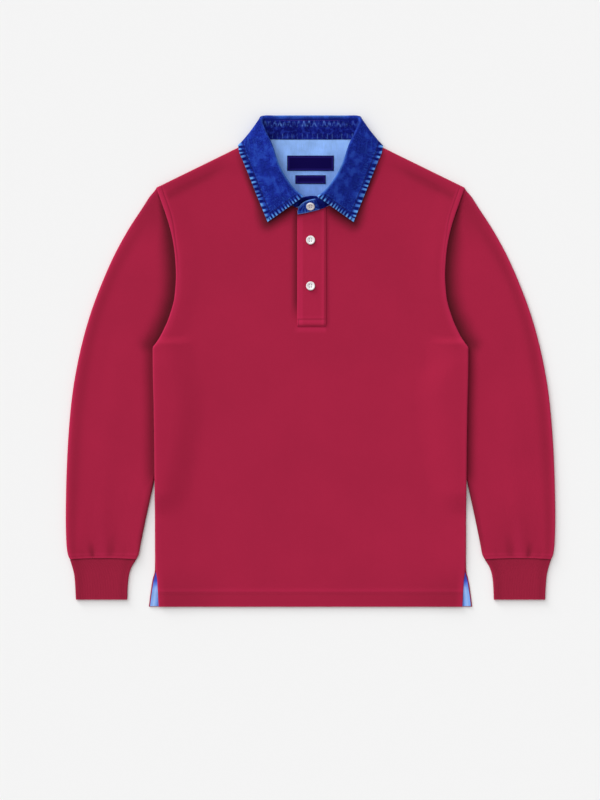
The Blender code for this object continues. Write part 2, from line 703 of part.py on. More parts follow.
def button(name, centre, tilt, finish, cutters):
    """A four-hole shirt button, turned from its profile, with its holes cut through."""
    mesh = bpy.data.meshes.new(name)
    points = [(radius * MM, 0.0, z * MM) for radius, z in BUTTON_PROFILE]
    mesh.from_pydata(points, [(i, i + 1) for i in range(len(points) - 1)], [])
    piece = bpy.data.objects.new(name, mesh)
    bpy.context.scene.collection.objects.link(piece)
    screw = piece.modifiers.new("turning", "SCREW")
    screw.steps = screw.render_steps = BUTTON_STEPS
    screw.use_merge_vertices = True
    screw.merge_threshold = 0.00001
    holes = bmesh.new()
    for across, along_y in ((1, 1), (1, -1), (-1, 1), (-1, -1)):
        made = bmesh.ops.create_cone(
            holes, cap_ends=True, segments=8, radius1=BUTTON_HOLE_RADIUS * MM,
            radius2=BUTTON_HOLE_RADIUS * MM, depth=8 * MM,
        )
        offset = (across * BUTTON_HOLE_SPACING * MM, along_y * BUTTON_HOLE_SPACING * MM, 1.5 * MM)
        bmesh.ops.translate(holes, verts=made["verts"], vec=offset)
    drill_mesh = bpy.data.meshes.new(name + "_holes")
    holes.to_mesh(drill_mesh)
    holes.free()
    drill = bpy.data.objects.new(name + "_holes", drill_mesh)
    cutters.objects.link(drill)
    drill.hide_render = True
    drill.display_type = "WIRE"
    cut = piece.modifiers.new("holes", "BOOLEAN")
    cut.operation = "DIFFERENCE"
    cut.object = drill
    for item in (piece, drill):
        item.location = [value * MM for value in centre]
        item.rotation_euler = tilt
    mesh.materials.append(finish)
    return piece


def stand_button_place():
    """Centre and tilt of the button on the lapping end of the stand."""
    row = STAND_OVER[1]
    seam = np.array([row.seam_x, row.seam_y, row.seam_z])
    top = np.array([row.top_x, row.top_y, row.top_z])
    up = unit(top - seam)
    lean = math.atan2(up[2], up[1]) + STAND_BUTTON_LEAN
    outward = np.array([0.0, -math.sin(lean), math.cos(lean)])
    middle = seam + (top - seam) * STAND_BUTTON_SHARE + np.array([STAND_BUTTON_X, 0, 0])
    return middle + outward * (DENIM / 2 + STAND_BUTTON_CLEAR), (lean, 0.0, 0.0)


def collect(name, pieces):
    """Moves the pieces into a collection of their own."""
    group = bpy.data.collections.new(name)
    bpy.context.scene.collection.children.link(group)
    for piece in pieces:
        for old in list(piece.users_collection):
            old.objects.unlink(piece)
        group.objects.link(piece)


def build():
    for old in list(bpy.data.objects):
        bpy.data.objects.remove(old, do_unlink=True)
    crimson = material("crimson_jersey", CRIMSON, 0.85)
    ribbed = material("crimson_rib", CRIMSON_RIB, 0.88)
    indigo = material("indigo_denim", INDIGO, 0.8)
    sky = material("sky_chambray", SKY, 0.8)
    navy = material("navy_label", NAVY, 0.6)
    white = material("white_button", SHELL_WHITE, 0.3)
    cutters = bpy.data.collections.new("cutters")
    bpy.context.scene.collection.children.link(cutters)
    pieces = [
        front_panel(crimson),
        back_panel(crimson),
        sleeve("sleeve_left", 1, crimson),
        sleeve("sleeve_right", -1, crimson),
        cuff("cuff_left", 1, ribbed),
        cuff("cuff_right", -1, ribbed),
        stand(indigo),
        leaf(indigo),
        placket_under(crimson),
        placket_over(crimson),
        lining(sky),
        vent_tape("vent_tape_left", 1, sky),
        vent_tape("vent_tape_right", -1, sky),
    ]
    pieces += [label(patch, navy) for patch in LABELS]
    for number, y in enumerate(PLACKET_BUTTONS_Y, start=2):
        centre = (0.0, y, float(placket_surface(0, y)) + SEAM_GAP)
        pieces.append(button(f"button_{number}", centre, (0, 0, 0), white, cutters))
    place, tilt = stand_button_place()
    pieces.append(button("button_1", place, tilt, white, cutters))
    collect("long_sleeve_polo_shirt", pieces)


build()
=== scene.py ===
"""Long-sleeve polo shirt of crimson jersey with a denim collar, laid flat and seen from above.

The shirt lies on its back on z = 0, neck towards +Y, front facing +Z. Lengths are in millimetres
until a mesh is made. Each table gives the half of the shirt at +X, and the other half mirrors it.
"""

import math
from collections import namedtuple

import bmesh
import bpy
import numpy as np
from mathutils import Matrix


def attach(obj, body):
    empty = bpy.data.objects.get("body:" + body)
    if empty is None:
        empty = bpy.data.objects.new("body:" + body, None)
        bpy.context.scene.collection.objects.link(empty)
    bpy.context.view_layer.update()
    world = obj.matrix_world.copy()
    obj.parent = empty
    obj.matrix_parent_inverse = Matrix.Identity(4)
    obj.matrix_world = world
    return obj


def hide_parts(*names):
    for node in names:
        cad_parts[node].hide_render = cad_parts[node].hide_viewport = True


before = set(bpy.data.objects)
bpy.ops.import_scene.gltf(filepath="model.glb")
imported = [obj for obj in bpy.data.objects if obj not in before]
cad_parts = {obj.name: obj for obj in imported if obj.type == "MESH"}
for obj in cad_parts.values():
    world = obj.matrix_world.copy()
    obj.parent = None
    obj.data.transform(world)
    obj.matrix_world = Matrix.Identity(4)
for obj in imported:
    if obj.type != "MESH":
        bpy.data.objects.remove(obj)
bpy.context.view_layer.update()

bpy.ops.object.select_all(action="DESELECT")

# The floor, the camera and the light.
# A pale matt table top, a camera looking straight down, and a large soft lamp at the upper left
# with white walls all round.
MM = 0.001
FRAME_CENTRE = (-0.0168, -0.0616)
CAMERA_HEIGHT = 3.2
CAMERA_LENS = 90
FLOOR_SIZE = 8
FLOOR_DROP = 0.0004
FLOOR_WHITE = 0.90
WALL_LIGHT = 0.47


def placed(name, data):
    """A new object in the scene, with this mesh, camera or lamp."""
    made = bpy.data.objects.new(name, data)
    bpy.context.scene.collection.objects.link(made)
    return made


bpy.ops.mesh.primitive_plane_add(size=FLOOR_SIZE, location=(0, 0, -FLOOR_DROP))
floor = bpy.context.object
floor.name = "table_top"
floor_finish = bpy.data.materials.new("matt_table_top")
floor_finish.use_nodes = True
floor_shader = floor_finish.node_tree.nodes["Principled BSDF"].inputs
floor_shader["Base Color"].default_value = (FLOOR_WHITE, FLOOR_WHITE, FLOOR_WHITE, 1)
floor_shader["Roughness"].default_value = 1.0
floor_shader["Specular IOR Level"].default_value = 0.0
floor.data.materials.append(floor_finish)

camera = placed("overhead_camera", bpy.data.cameras.new("overhead_camera"))
camera.data.lens = CAMERA_LENS
camera.location = (*FRAME_CENTRE, CAMERA_HEIGHT)
bpy.context.scene.camera = camera
bpy.context.scene.view_settings.view_transform = "Standard"

world = bpy.data.worlds.new("white_walls")
world.use_nodes = True
walls = world.node_tree.nodes["Background"].inputs
walls["Color"].default_value = (1, 1, 1, 1)
walls["Strength"].default_value = WALL_LIGHT
bpy.context.scene.world = world

# Each lamp's name and strength, then in degrees how high it stands, where it comes from and how
# wide it looks.
Lamp = namedtuple("Lamp", "name strength elevation azimuth width")
LAMPS = [
    Lamp("soft_lamp", 1.15, 55, 128, 70),
    Lamp("high_lamp", 0.44, 52, 128, 40),
    Lamp("raking_lamp", 1.40, 17, 126, 22),
]
for lamp in LAMPS:
    sun = bpy.data.lights.new(lamp.name, "SUN")
    sun.energy = lamp.strength
    sun.angle = math.radians(lamp.width)
    placed(lamp.name, sun).rotation_euler = (
        0, math.radians(90 - lamp.elevation), math.radians(lamp.azimuth)
    )

# The back.
# One panel of heavy crimson cotton jersey, cut with a shallow neckline, armholes and two side
# vents, its hem turned up and twin-stitched. The rest of the shirt is sewn to it or lies on it.
JERSEY = 1.4
HALF_CHEST = 252.0
HEM_Y = -392.0
SHOULDER = (246.4, 277.6)
NECK_POINT = (80.0, 361.5)
BENT_NECK_POINT = (83.0, 354.0)
COLLAR_SIDE = (113.5, 342.6)
BACK_NECK_Y = 358.0
SLOT_BOTTOM_Y = 62.0
TUBE = 6.4
ARMHOLE_LIFT = 1.7
SLEEVE_LIFT = 6.8
COLLAR_LIFT = 2.6


def table_of(kind, values):
    """A table of named rows."""
    return [kind(*row) for row in values]


Section = namedtuple("Section", "name centre_y edge_x edge_y mid_h edge_h front_roll back_roll")
SECTIONS = table_of(Section, [
    ("hem", HEM_Y, 242.6, HEM_Y, 3.6, 4.6, 0.30, 0.0),
    ("top of the hem", -372, 243.8, -372, 3.6, 4.8, 0.35, 0.0),
    ("vent", -350, 245.0, -350, 3.7, 5.4, 0.50, 0.0),
    ("top of the vent", -334, 247.2, -334, 3.7, 6.0, 0.95, 0.95),
    ("hip", -300, 248.6, -300, 3.8, TUBE, 1.0, 1.0),
    ("below the waist", -206, 248.8, -206, 3.9, TUBE, 1.0, 1.0),
    ("waist", -150, 249.2, -150, 4.0, TUBE, 1.0, 1.0),
    ("ribs", -75, 250.2, -75, 4.2, TUBE, 1.0, 1.0),
    ("underarm", -15, 251.6, -18, 4.4, TUBE, 1.0, 1.0),
    ("armpit", 25, HALF_CHEST, 20.4, 4.6, TUBE, 1.0, 1.0),
    ("above the armpit", 38, 247.6, 27.8, 4.65, TUBE, 0.95, 0.75),
    ("foot of the slit", SLOT_BOTTOM_Y, 240.0, 40, 4.7, TUBE, 0.85, 0.3),
    ("low armhole", 105, 225.5, 72, 4.8, TUBE, 0.62, 0.0),
    ("chest", 150, 217.0, 105, 5.0, TUBE, 0.62, 0.0),
    ("inmost armhole", 197, 214.9, 137.8, 5.0, TUBE, 0.62, 0.0),
    ("base of the neck", 241, 216.3, 166, 5.0, TUBE, 0.62, 0.0),
    ("low neck", 252, 219.4, 190, 5.1, TUBE, 0.62, 0.0),
    ("side of the neck", 272, 224.8, 214, 5.3, TUBE, 0.62, 0.0),
    ("high neck", 298, 232.0, 237, 5.7, TUBE, 0.62, 0.0),
    ("under the shoulder", 329, 239.4, 258, 6.0, TUBE, 0.62, 0.1),
    ("shoulder", NECK_POINT[1], SHOULDER[0], SHOULDER[1], TUBE, TUBE, 0.62, 0.3),
])

# The back's rows run through a guide point below the neck point, up to the straight neckline.
BackGuide = namedtuple("BackGuide", "centre_y guide_y")
BACK_GUIDES = {
    "base of the neck": BackGuide(238, 214),
    "low neck": BackGuide(266, 243),
    "side of the neck": BackGuide(293, 274),
    "high neck": BackGuide(318, 306),
    "under the shoulder": BackGuide(340, 335),
    "shoulder": BackGuide(BACK_NECK_Y, NECK_POINT[1]),
}
BACK_GUIDE_X = NECK_POINT[0]

# How far the back's vent edge swings out past the front's.
VENT_FLARE = {"hem": 16.6, "top of the hem": 13.0, "vent": 8.4, "top of the vent": 1.8}

# Each row runs across the sleeve, from its outer fold to the fold that the body mostly covers. bow
# bends the row towards the curve of the armhole, and turn squares it to the inner fold.
SleeveRow = namedtuple("SleeveRow", "outer_x outer_y inner_x inner_y bow turn")
SLEEVE = table_of(SleeveRow, [
    (384.8, -314.6, 278.3, -314.6, 0.0, 0.0),
    (387.6, -308.5, 274.6, -307.5, 0.0, 0.0),
    (390.2, -291, 271.0, -290, 0.0, 0.0),
    (391.3, -250, 262.8, -250, 0.0, 0.0),
    (390.6, -200, 252.6, -203, 0.0, 0.0),
    (388.8, -150, 242.4, -158, 0.0, 0.0),
    (385.6, -100, 235.0, -112, 0.0, 0.0),
    (380.4, -50, 230.0, -76, 0.0, 0.3),
    (373.4, -8, 230.4, -48, 0.0, 0.6),
    (364.0, 34, 235.0, -28, 0.0, 0.9),
    (351.2, 78, 240.4, -13.5, 0.0, 1.0),
    (334.0, 124, 244.8, -2, 0.0, 1.0),
    (313.6, 170, 246.2, 4.0, 0.05, 1.0),
    (291.0, 211, 247.2, 11.0, 0.15, 1.0),
    (266.6, 248.6, 247.6, 17.4, 0.33, 1.0),
    (247.8, 278.6, 249.2, 29.4, 1.0, 0.0),
])


def ease(value):
    """0 to 1 with flat ends, held outside that range."""
    t = np.clip(value, 0.0, 1.0)
    return t * t * (3 - 2 * t)


def fall(value):
    """1 to 0 with flat ends, held outside that range."""
    return 1 - ease(value)


def bump(value):
    """1 at 0, falling softly to 0 at a distance of about 2."""
    return np.exp(-np.square(value))


def slopes(values):
    """The slope at each table row that keeps the curve through it from overshooting."""
    steps = np.diff(values)
    inner = np.zeros(len(values))
    same = steps[:-1] * steps[1:] > 0
    both = steps[:-1][same] * steps[1:][same]
    inner[1:-1][same] = 2 * both / (steps[:-1][same] + steps[1:][same])
    inner[0], inner[-1] = steps[0], steps[-1]
    return inner


def along(values, at):
    """A smooth curve through a table column, read at row numbers that may lie between rows."""
    values = np.asarray(values, float)
    at = np.clip(np.asarray(at, float), 0, len(values) - 1)
    row = np.minimum(at.astype(int), len(values) - 2)
    t = at - row
    start, end = values[row], values[row + 1]
    lean = slopes(values)
    return (
        start * (1 + 2 * t) * (1 - t) ** 2
        + lean[row] * t * (1 - t) ** 2
        + end * t * t * (3 - 2 * t)
        + lean[row + 1] * t * t * (t - 1)
    )


def column(table, field):
    return [getattr(row, field) for row in table]


def read(table, field, at):
    """One column of a table, read at row numbers that may lie between rows."""
    return along(column(table, field), at)


def unit(vectors):
    return vectors / np.linalg.norm(vectors, axis=-1, keepdims=True)


def lengths_along(line):
    """How far along a line each of its points lies."""
    return np.concatenate([[0], np.cumsum(np.linalg.norm(np.diff(line, axis=0), axis=1))])


def edge_x(y):
    """Half the front's width at a height y, along the side, the armhole and the shoulder."""
    ys = column(SECTIONS, "edge_y") + [NECK_POINT[1]]
    xs = column(SECTIONS, "edge_x") + [NECK_POINT[0]]
    return np.interp(y, ys, xs)


def below_shoulder(x, y):
    """Distance of a point from the line of the shoulder seam."""
    run, drop = SHOULDER[0] - NECK_POINT[0], NECK_POINT[1] - SHOULDER[1]
    return ((NECK_POINT[1] - y) * run - (np.abs(x) - NECK_POINT[0]) * drop) / math.hypot(run, drop)


def inner_sleeve_x(y):
    """Where the sleeve's inner fold runs under the body."""
    folds = [row for row in SLEEVE if row.inner_y < 0][::-1]
    ys = np.array(column(folds, "inner_y"))[::-1]
    xs = np.array(column(folds, "inner_x"))[::-1]
    return np.interp(y, ys, xs)


def lift(x, y):
    """Height of the body's underside over the table: it lies on the sleeves and on the collar."""
    x = np.abs(x)
    over_sleeve = ease((x - inner_sleeve_x(y) + 66) / 52)
    over_sleeve = over_sleeve * ease((y + 250) / 44)
    over_sleeve = over_sleeve * (1 - 0.2 * ease((y + 10) / 28) - 0.8 * ease((y - 28) / 12))
    at_armhole = ease((x - edge_x(y) + 44) / 34) * ease((y - 10) / 20)
    over_collar = ease((y - 296) / 38) * fall((x - 118) / 46)
    return np.maximum(
        np.maximum(SLEEVE_LIFT * over_sleeve, ARMHOLE_LIFT * at_armhole), COLLAR_LIFT * over_collar
    )


def body_height(x, y):
    """Thickness of the flattened body, from the back's underside to the front's outer face."""
    ys = column(SECTIONS, "edge_y")
    mid = np.interp(y, column(SECTIONS, "centre_y"), column(SECTIONS, "mid_h"))
    edge = np.interp(y, ys, column(SECTIONS, "edge_h"))
    near_side = fall((edge_x(y) - np.abs(x) - 6) / 64)
    near_shoulder = fall((below_shoulder(x, y) - 6) / 44)
    return mid + (edge - mid) * np.maximum(near_side, near_shoulder)


# The soft folds left in the cloth as it was smoothed out by hand: a place, the way the fold runs,
# its length, width and height. A negative height is a trough.
Fold = namedtuple("Fold", "x y angle length width height")
FRONT_FOLDS = table_of(Fold, [
    (-168, -300, 78, 120, 26, 0.55),
    (178, -286, 100, 130, 30, 0.60),
    (-96, -214, 12, 150, 34, 0.40),
    (86, -150, -18, 170, 38, 0.45),
    (-150, 10, 38, 120, 30, 0.50),
    (160, 30, -42, 110, 28, 0.50),
    (-182, 178, 74, 90, 22, 0.45),
    (184, 190, 106, 84, 22, 0.45),
    (-120, 246, -26, 90, 18, -0.35),
    (126, 250, 24, 96, 18, -0.35),
    (0, -60, 86, 190, 44, 0.35),
    (52, -330, 4, 160, 20, 0.30),
])


def folds(x, y, table):
    """How far the folds in a table raise the cloth."""
    total = np.zeros(np.shape(x))
    for fold in table:
        turn = math.radians(fold.angle)
        down_it = (x - fold.x) * math.cos(turn) + (y - fold.y) * math.sin(turn)
        across = (y - fold.y) * math.cos(turn) - (x - fold.x) * math.sin(turn)
        total = total + fold.height * bump(down_it / (fold.length * 0.6)) * bump(across / fold.width)
    return total


def back_top(x, y):
    return lift(x, y) + JERSEY


def front_top(x, y):
    return lift(x, y) + body_height(x, y) + folds(x, y, FRONT_FOLDS)


def roll(radius, angle):
    """How far in from a fold, and how far down its top, a point on the fold lies."""
    return radius * (1 - math.cos(math.radians(angle))), radius * (1 - math.sin(math.radians(angle)))


ROLL_ANGLES = (75.0, 60.0, 46.0, 34.0, 22.0, 12.0, 4.0)
NEAR_EDGE = (0, 1.3, 2.6, 3.8, 4.8, 5.6, 6.4, 7.6, 9.2, 11.2, 14, 18, 23, 29)
ACROSS_STEPS = 38
SHOULDER_CLEAR = 4.5
CUT_EDGE_ANGLE = 52
SMOOTH_ANGLE = 60


def row_line(stops):
    """Points along a line through two or three plan points, closer together near its end."""
    stops = np.asarray(stops, float)
    lengths = lengths_along(stops)
    far = lengths[-1] - np.array(NEAR_EDGE[::-1])
    at = np.concatenate([np.linspace(0, far[0], ACROSS_STEPS)[:-1], far])
    return np.stack([np.interp(at, lengths, stops[:, k]) for k in (0, 1)], axis=1)


def half_panel_row(stops, at, front):
    """One row of half a body panel, from its start to the folded edge at the side."""
    radius = (read(SECTIONS, "edge_h", at) - JERSEY) / 2
    turn = read(SECTIONS, "front_roll" if front else "back_roll", at)
    stops = np.asarray(stops, float)
    inward = unit(stops[-2] - stops[-1])
    flat_end = stops[-1] + inward * (JERSEY / 2 + radius)
    points = [(x, y, 0.0) for x, y in row_line([*stops[:-1], flat_end])]
    for angle in ROLL_ANGLES:
        in_from_edge, down = roll(radius, angle)
        place = stops[-1] + inward * (JERSEY / 2 + in_from_edge)
        points.append((place[0], place[1], down * turn))
    return points


def panel_numbers():
    """Row numbers in SECTIONS with a row of points about every 5 mm, and closer at the hem."""
    hem = [0, 0.06, 0.14, 0.26, 0.42, 0.6, 0.76, 0.88, 0.96, 1.06, 1.14, 1.22, 1.32, 1.48, 1.66, 1.82]
    numbers = list(hem)
    for number in range(2, len(SECTIONS) - 1):
        rise = SECTIONS[number + 1].edge_y - SECTIONS[number].edge_y
        steps = max(3, int(math.ceil(rise / 5)))
        numbers += [number + step / steps for step in range(steps)]
    return [*numbers, float(len(SECTIONS) - 1)]


def bent_last_row(row_at):
    """Rows of a panel, whose last stretch turns gradually into the bent row at the shoulder."""
    last = len(SECTIONS) - 1
    below, bent = np.array(row_at(last - 1)), np.array(row_at(last))
    rows = []
    for at in panel_numbers():
        share = at - (last - 1)
        rows.append(row_at(at) if share <= 0 else below + (bent - below) * share)
    return rows


def finish_panel(rows, front):
    """Adds the folded rows at the shoulder, sets each point's height and mirrors the half."""
    rows = np.array(rows)
    top = rows[-1]
    radius = (TUBE - JERSEY) / 2
    inward = unit(rows[-4, :, :2] - top[:, :2])
    on_seam = ease((top[:, 0] - NECK_POINT[0] + 6) / 6) if not front else np.ones(len(top))
    folded = []
    for angle in (90.0, *ROLL_ANGLES):
        in_from_edge, down = roll(radius, angle)
        row = top.copy()
        row[:, :2] += inward * (JERSEY / 2 + in_from_edge)
        row[:, 2] = np.maximum(top[:, 2], down * on_seam)
        folded.append(row)
    clear = np.linalg.norm(rows[:-1, :, :2] - top[None, :, :2], axis=2).min(axis=1)
    rows = np.concatenate([rows[:-1][clear > SHOULDER_CLEAR], folded])
    x, y, turned = rows[..., 0], rows[..., 1], rows[..., 2]
    if front:
        z = front_top(x, y) - JERSEY / 2 - turned
    else:
        z = lift(x, y) + JERSEY / 2 + turned
    half = np.stack([x, y, z], axis=-1)
    mirrored = half[:, ::-1] * np.array([-1, 1, 1])
    return np.concatenate([mirrored, half if front else half[:, 1:]], axis=1)


def select_only(piece):
    bpy.ops.object.select_all(action="DESELECT")
    bpy.context.view_layer.objects.active = piece
    piece.select_set(True)


def shape_with(piece, kind, **settings):
    """Puts a modifier on the active piece and applies it."""
    modifier = piece.modifiers.new(kind.lower(), kind)
    for key, value in settings.items():
        setattr(modifier, key, value)
    bpy.ops.object.modifier_apply(modifier=modifier.name)


def cloth(name, points, wall, closed=False, kept=None, rounded=0.0, **marks):
    """A wall of cloth laid on a grid of points in millimetres.

    closed joins the last column to the first, as in a tube. kept is a mask of the grid's faces
    that the cut leaves. rounded is the radius of its cut edges. marks are masks over the points,
    such as where it is shaded or worn, which the finish reads as attributes.
    """
    points = np.asarray(points, float)
    rows, columns = points.shape[:2]
    count = columns - 1 if closed else columns
    number = np.arange(rows * count).reshape(rows, count)
    follow = np.roll(number, -1, axis=1) if closed else number[:, 1:]
    here = number if closed else number[:, :-1]
    corners = np.stack([here[:-1], follow[:-1], follow[1:], here[1:]], axis=-1)
    if kept is not None:
        corners = corners[kept]
    mesh = bpy.data.meshes.new(name)
    mesh.from_pydata((points[:, :count].reshape(-1, 3) * MM).tolist(), [], corners.reshape(-1, 4).tolist())
    across = np.cumsum(np.linalg.norm(np.diff(points, axis=1, prepend=points[:, :1]), axis=2), axis=1)
    along_it = np.cumsum(np.linalg.norm(np.diff(points, axis=0, prepend=points[:1]), axis=2), axis=0)
    across -= across[:, columns // 2][:, None]
    plan = np.stack([across, np.broadcast_to(along_it.mean(axis=1, keepdims=True), across.shape)], axis=-1)
    place = np.stack([plan[:-1, :-1], plan[:-1, 1:], plan[1:, 1:], plan[1:, :-1]], axis=2)
    if kept is not None:
        place = place[kept]
    mesh.uv_layers.new(name="cloth").data.foreach_set("uv", (place.reshape(-1) * MM).astype(np.float32))
    for key, values in marks.items():
        values = np.broadcast_to(values, (rows, columns))[:, :count].reshape(-1).astype(np.float32)
        mesh.attributes.new(key, "FLOAT", "POINT").data.foreach_set("value", values)
    piece = placed(name, mesh)
    select_only(piece)
    loose = bmesh.new()
    loose.from_mesh(mesh)
    bmesh.ops.delete(loose, geom=[v for v in loose.verts if not v.link_faces], context="VERTS")
    loose.to_mesh(mesh)
    loose.free()
    shape_with(piece, "SOLIDIFY", thickness=wall * MM, offset=0.0)
    if rounded:
        shape_with(
            piece, "BEVEL", width=rounded * MM, segments=2, limit_method="ANGLE",
            angle_limit=math.radians(CUT_EDGE_ANGLE),
        )
    bpy.ops.object.shade_smooth_by_angle(angle=math.radians(SMOOTH_ANGLE))
    return piece


def edge_distance(x, y):
    """Distance of a point inside the body from its side, armhole and shoulder edges."""
    ys = np.array(column(SECTIONS, "edge_y"))
    xs = np.array(column(SECTIONS, "edge_x"))
    distance = np.full(np.shape(x), 1e6)
    for k in range(len(ys) - 1):
        run, rise = xs[k + 1] - xs[k], ys[k + 1] - ys[k]
        share = ((np.abs(x) - xs[k]) * run + (y - ys[k]) * rise) / (run * run + rise * rise)
        share = np.clip(share, 0, 1)
        away = np.hypot(np.abs(x) - xs[k] - share * run, y - ys[k] - share * rise)
        distance = np.minimum(distance, away)
    return distance


# The nodes of a finish. A node's output is held as a Wire, so that a pattern is written as sums.
class Wire:
    """A value in a tree of nodes. Arithmetic with it adds Math nodes to that tree."""

    def __init__(self, socket):
        self.socket = socket
        self.tree = socket.id_data

    def maths(self, operation, *others):
        return add(self.tree, "Math", dict(enumerate((self, *others))), operation=operation)[0]

    def __add__(self, other):
        return self.maths("ADD", other)

    def __sub__(self, other):
        return self.maths("SUBTRACT", other)

    def __mul__(self, other):
        return self.maths("MULTIPLY", other)

    def __truediv__(self, other):
        return self.maths("DIVIDE", other)


def wire_up(node, inputs):
    """Links each of a node's inputs to a wire, or sets it to a plain value."""
    for key, value in inputs.items():
        if isinstance(value, Wire):
            node.id_data.links.new(value.socket, node.inputs[key])
        else:
            node.inputs[key].default_value = value


def add(tree, kind, inputs=None, **settings):
    """Adds a node with these settings and inputs. Gives its outputs in order."""
    node = tree.nodes.new("ShaderNode" + kind)
    for key, value in settings.items():
        setattr(node, key, value)
    wire_up(node, inputs or {})
    return [Wire(socket) for socket in node.outputs]


def xyz(place):
    """The three lengths of a place."""
    return add(place.tree, "SeparateXYZ", {0: place})


def cloth_place(tree):
    """Lengths in metres over a piece of cloth, across it and along it."""
    return add(tree, "UVMap", uv_map="cloth")[0]


def object_place(tree):
    """Lengths in metres over the whole shirt."""
    return Wire(tree.nodes.new("ShaderNodeTexCoord").outputs["Object"])


def mark(tree, name):
    """One of the masks that cloth() gave a piece."""
    node = tree.nodes.new("ShaderNodeAttribute")
    node.attribute_name = name
    return Wire(node.outputs["Fac"])


def wave(value, pitch=1.0):
    """A sine wave along a value, one wave to a pitch."""
    return (value * (2 * math.pi / pitch)).maths("SINE")


def noise(place, scale=1.0, detail=3.0, distortion=0.0):
    settings = {"Vector": place, "Scale": scale, "Detail": detail, "Distortion": distortion}
    return add(place.tree, "TexNoise", settings)[0]


def mixed(share, first, second, blend="MIX"):
    """Two colours mixed, of which at least one or their share is a wire."""
    tree = next(value.tree for value in (share, first, second) if isinstance(value, Wire))
    first, second = (c if isinstance(c, Wire) else (*c, 1.0) for c in (first, second))
    return add(tree, "Mix", {0: share, 6: first, 7: second}, data_type="RGBA", blend_type=blend)[2]


def lit(colour, amount):
    """A colour made lighter or darker by an amount about 0."""
    level = amount + 1.0
    grey = add(level.tree, "CombineColor", {0: level, 1: level, 2: level})[0]
    return mixed(1.0, colour, grey, "MULTIPLY")


def group(name, inputs, outputs, build):
    """A node group. build() gets its inputs in order and gives its outputs in order."""
    tree = bpy.data.node_groups.new(name, "ShaderNodeTree")
    for socket, value in inputs.items():
        kind = "NodeSocketVector" if value is None else "NodeSocketFloat"
        made = tree.interface.new_socket(socket, in_out="INPUT", socket_type=kind)
        if value is not None:
            made.default_value = value
    for socket in outputs:
        tree.interface.new_socket(socket, in_out="OUTPUT", socket_type="NodeSocketFloat")
    given = tree.nodes.new("NodeGroupInput").outputs
    results = build(tree, *[Wire(given[socket]) for socket in inputs])
    wire_up(tree.nodes.new("NodeGroupOutput"), dict(zip(outputs, results)))
    return tree


def jersey_loops(tree, place, wale, course):
    """Rounded ribs of V-shaped stitches, from UV lengths in metres."""
    x, y, _ = xyz(place)
    side = (x / wale).maths("PINGPONG", 0.5)
    round_rib = wave(side)
    loop = wave(y / course + side * 1.3)
    return loop * 0.22 + round_rib * 0.75, round_rib * -1.0 + 1.0


def uneven_dye(tree, slow_size, quick_size):
    """Uneven dye and stray fibres: a slow and a quick variation about 0."""
    place = object_place(tree)
    return noise(place, slow_size) - 0.5, noise(place, quick_size, 2.0) - 0.5


JERSEY_LOOPS = group(
    "jersey_loops", {"Place": None, "Wale": 0.0011, "Course": 0.0009}, ("Height", "Gap"), jersey_loops
)
UNEVEN_DYE = group("uneven_dye", {"Slow size": 9.0, "Quick size": 700.0}, ("Slow", "Quick"), uneven_dye)


def blank(name):
    """A new finish, and the tree that its nodes go into."""
    finish = bpy.data.materials.new(name)
    finish.use_nodes = True
    return finish, finish.node_tree


def complete(finish, values, height=None, distance=0.0001, strength=0.5):
    """Gives a finish's shader its colour, its other values and the relief of its surface."""
    shader = finish.node_tree.nodes["Principled BSDF"]
    wire_up(shader, values)
    if height is not None:
        relief = {"Height": height, "Distance": distance, "Strength": strength}
        wire_up(shader, {"Normal": add(finish.node_tree, "Bump", relief)[0]})
    return finish


def jersey(name, colour, dark, light, wale=0.0011, ribs=0.0, relief=0.00022):
    """Brushed cotton knit: its loops and uneven dye, painted shade in the gaps between its ribs, and the
    painted shade and painted highlights of its shade and rim marks.
    """
    finish, tree = blank(name)
    place = cloth_place(tree)
    loops = {"Place": place, "Wale": wale, "Course": wale * 0.8}
    height, gap = add(tree, "Group", loops, node_tree=JERSEY_LOOPS)
    slow, quick = add(tree, "Group", node_tree=UNEVEN_DYE)
    # The gap term darkens the gaps between the ribs: painted shade.
    shown = lit(lit(lit(colour, slow * 0.16), quick * 0.14), gap * -0.10)
    # The rim mark paints highlights on rolled edges and ridges, and the shade mark paints shade and shadow.
    shown = mixed(mark(tree, "rim"), shown, light)
    shown = mixed(mark(tree, "shade"), shown, dark)
    if ribs:
        height = wave(xyz(place)[0], ribs) * 1.1 + height
    values = {
        "Base Color": shown, "Roughness": 0.92, "Specular IOR Level": 0.10, "Sheen Weight": 0.16,
        "Sheen Roughness": 0.45, "Sheen Tint": (1.0, 0.30, 0.42, 1.0),
    }
    return complete(finish, values, quick * 0.6 + height, relief, 0.55)


# The jersey's colour, then the colours of its painted shade and of its painted highlights.
CRIMSON = (0.397, 0.0144, 0.0540)
CRIMSON_PAINTED_SHADE = (0.080, 0.0055, 0.0110)
CRIMSON_PAINTED_HIGHLIGHT = (0.600, 0.0230, 0.0960)
crimson = jersey("crimson_jersey", CRIMSON, CRIMSON_PAINTED_SHADE, CRIMSON_PAINTED_HIGHLIGHT)


def dress(piece, node, slot, finish):
    """Gives a piece its finish, puts it under the root body and hides the part of the model that it stands
    for.
    """
    piece.data.materials.clear()
    piece.data.materials.append(finish)
    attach(piece, "root")
    if node:
        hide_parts(node)
    return piece


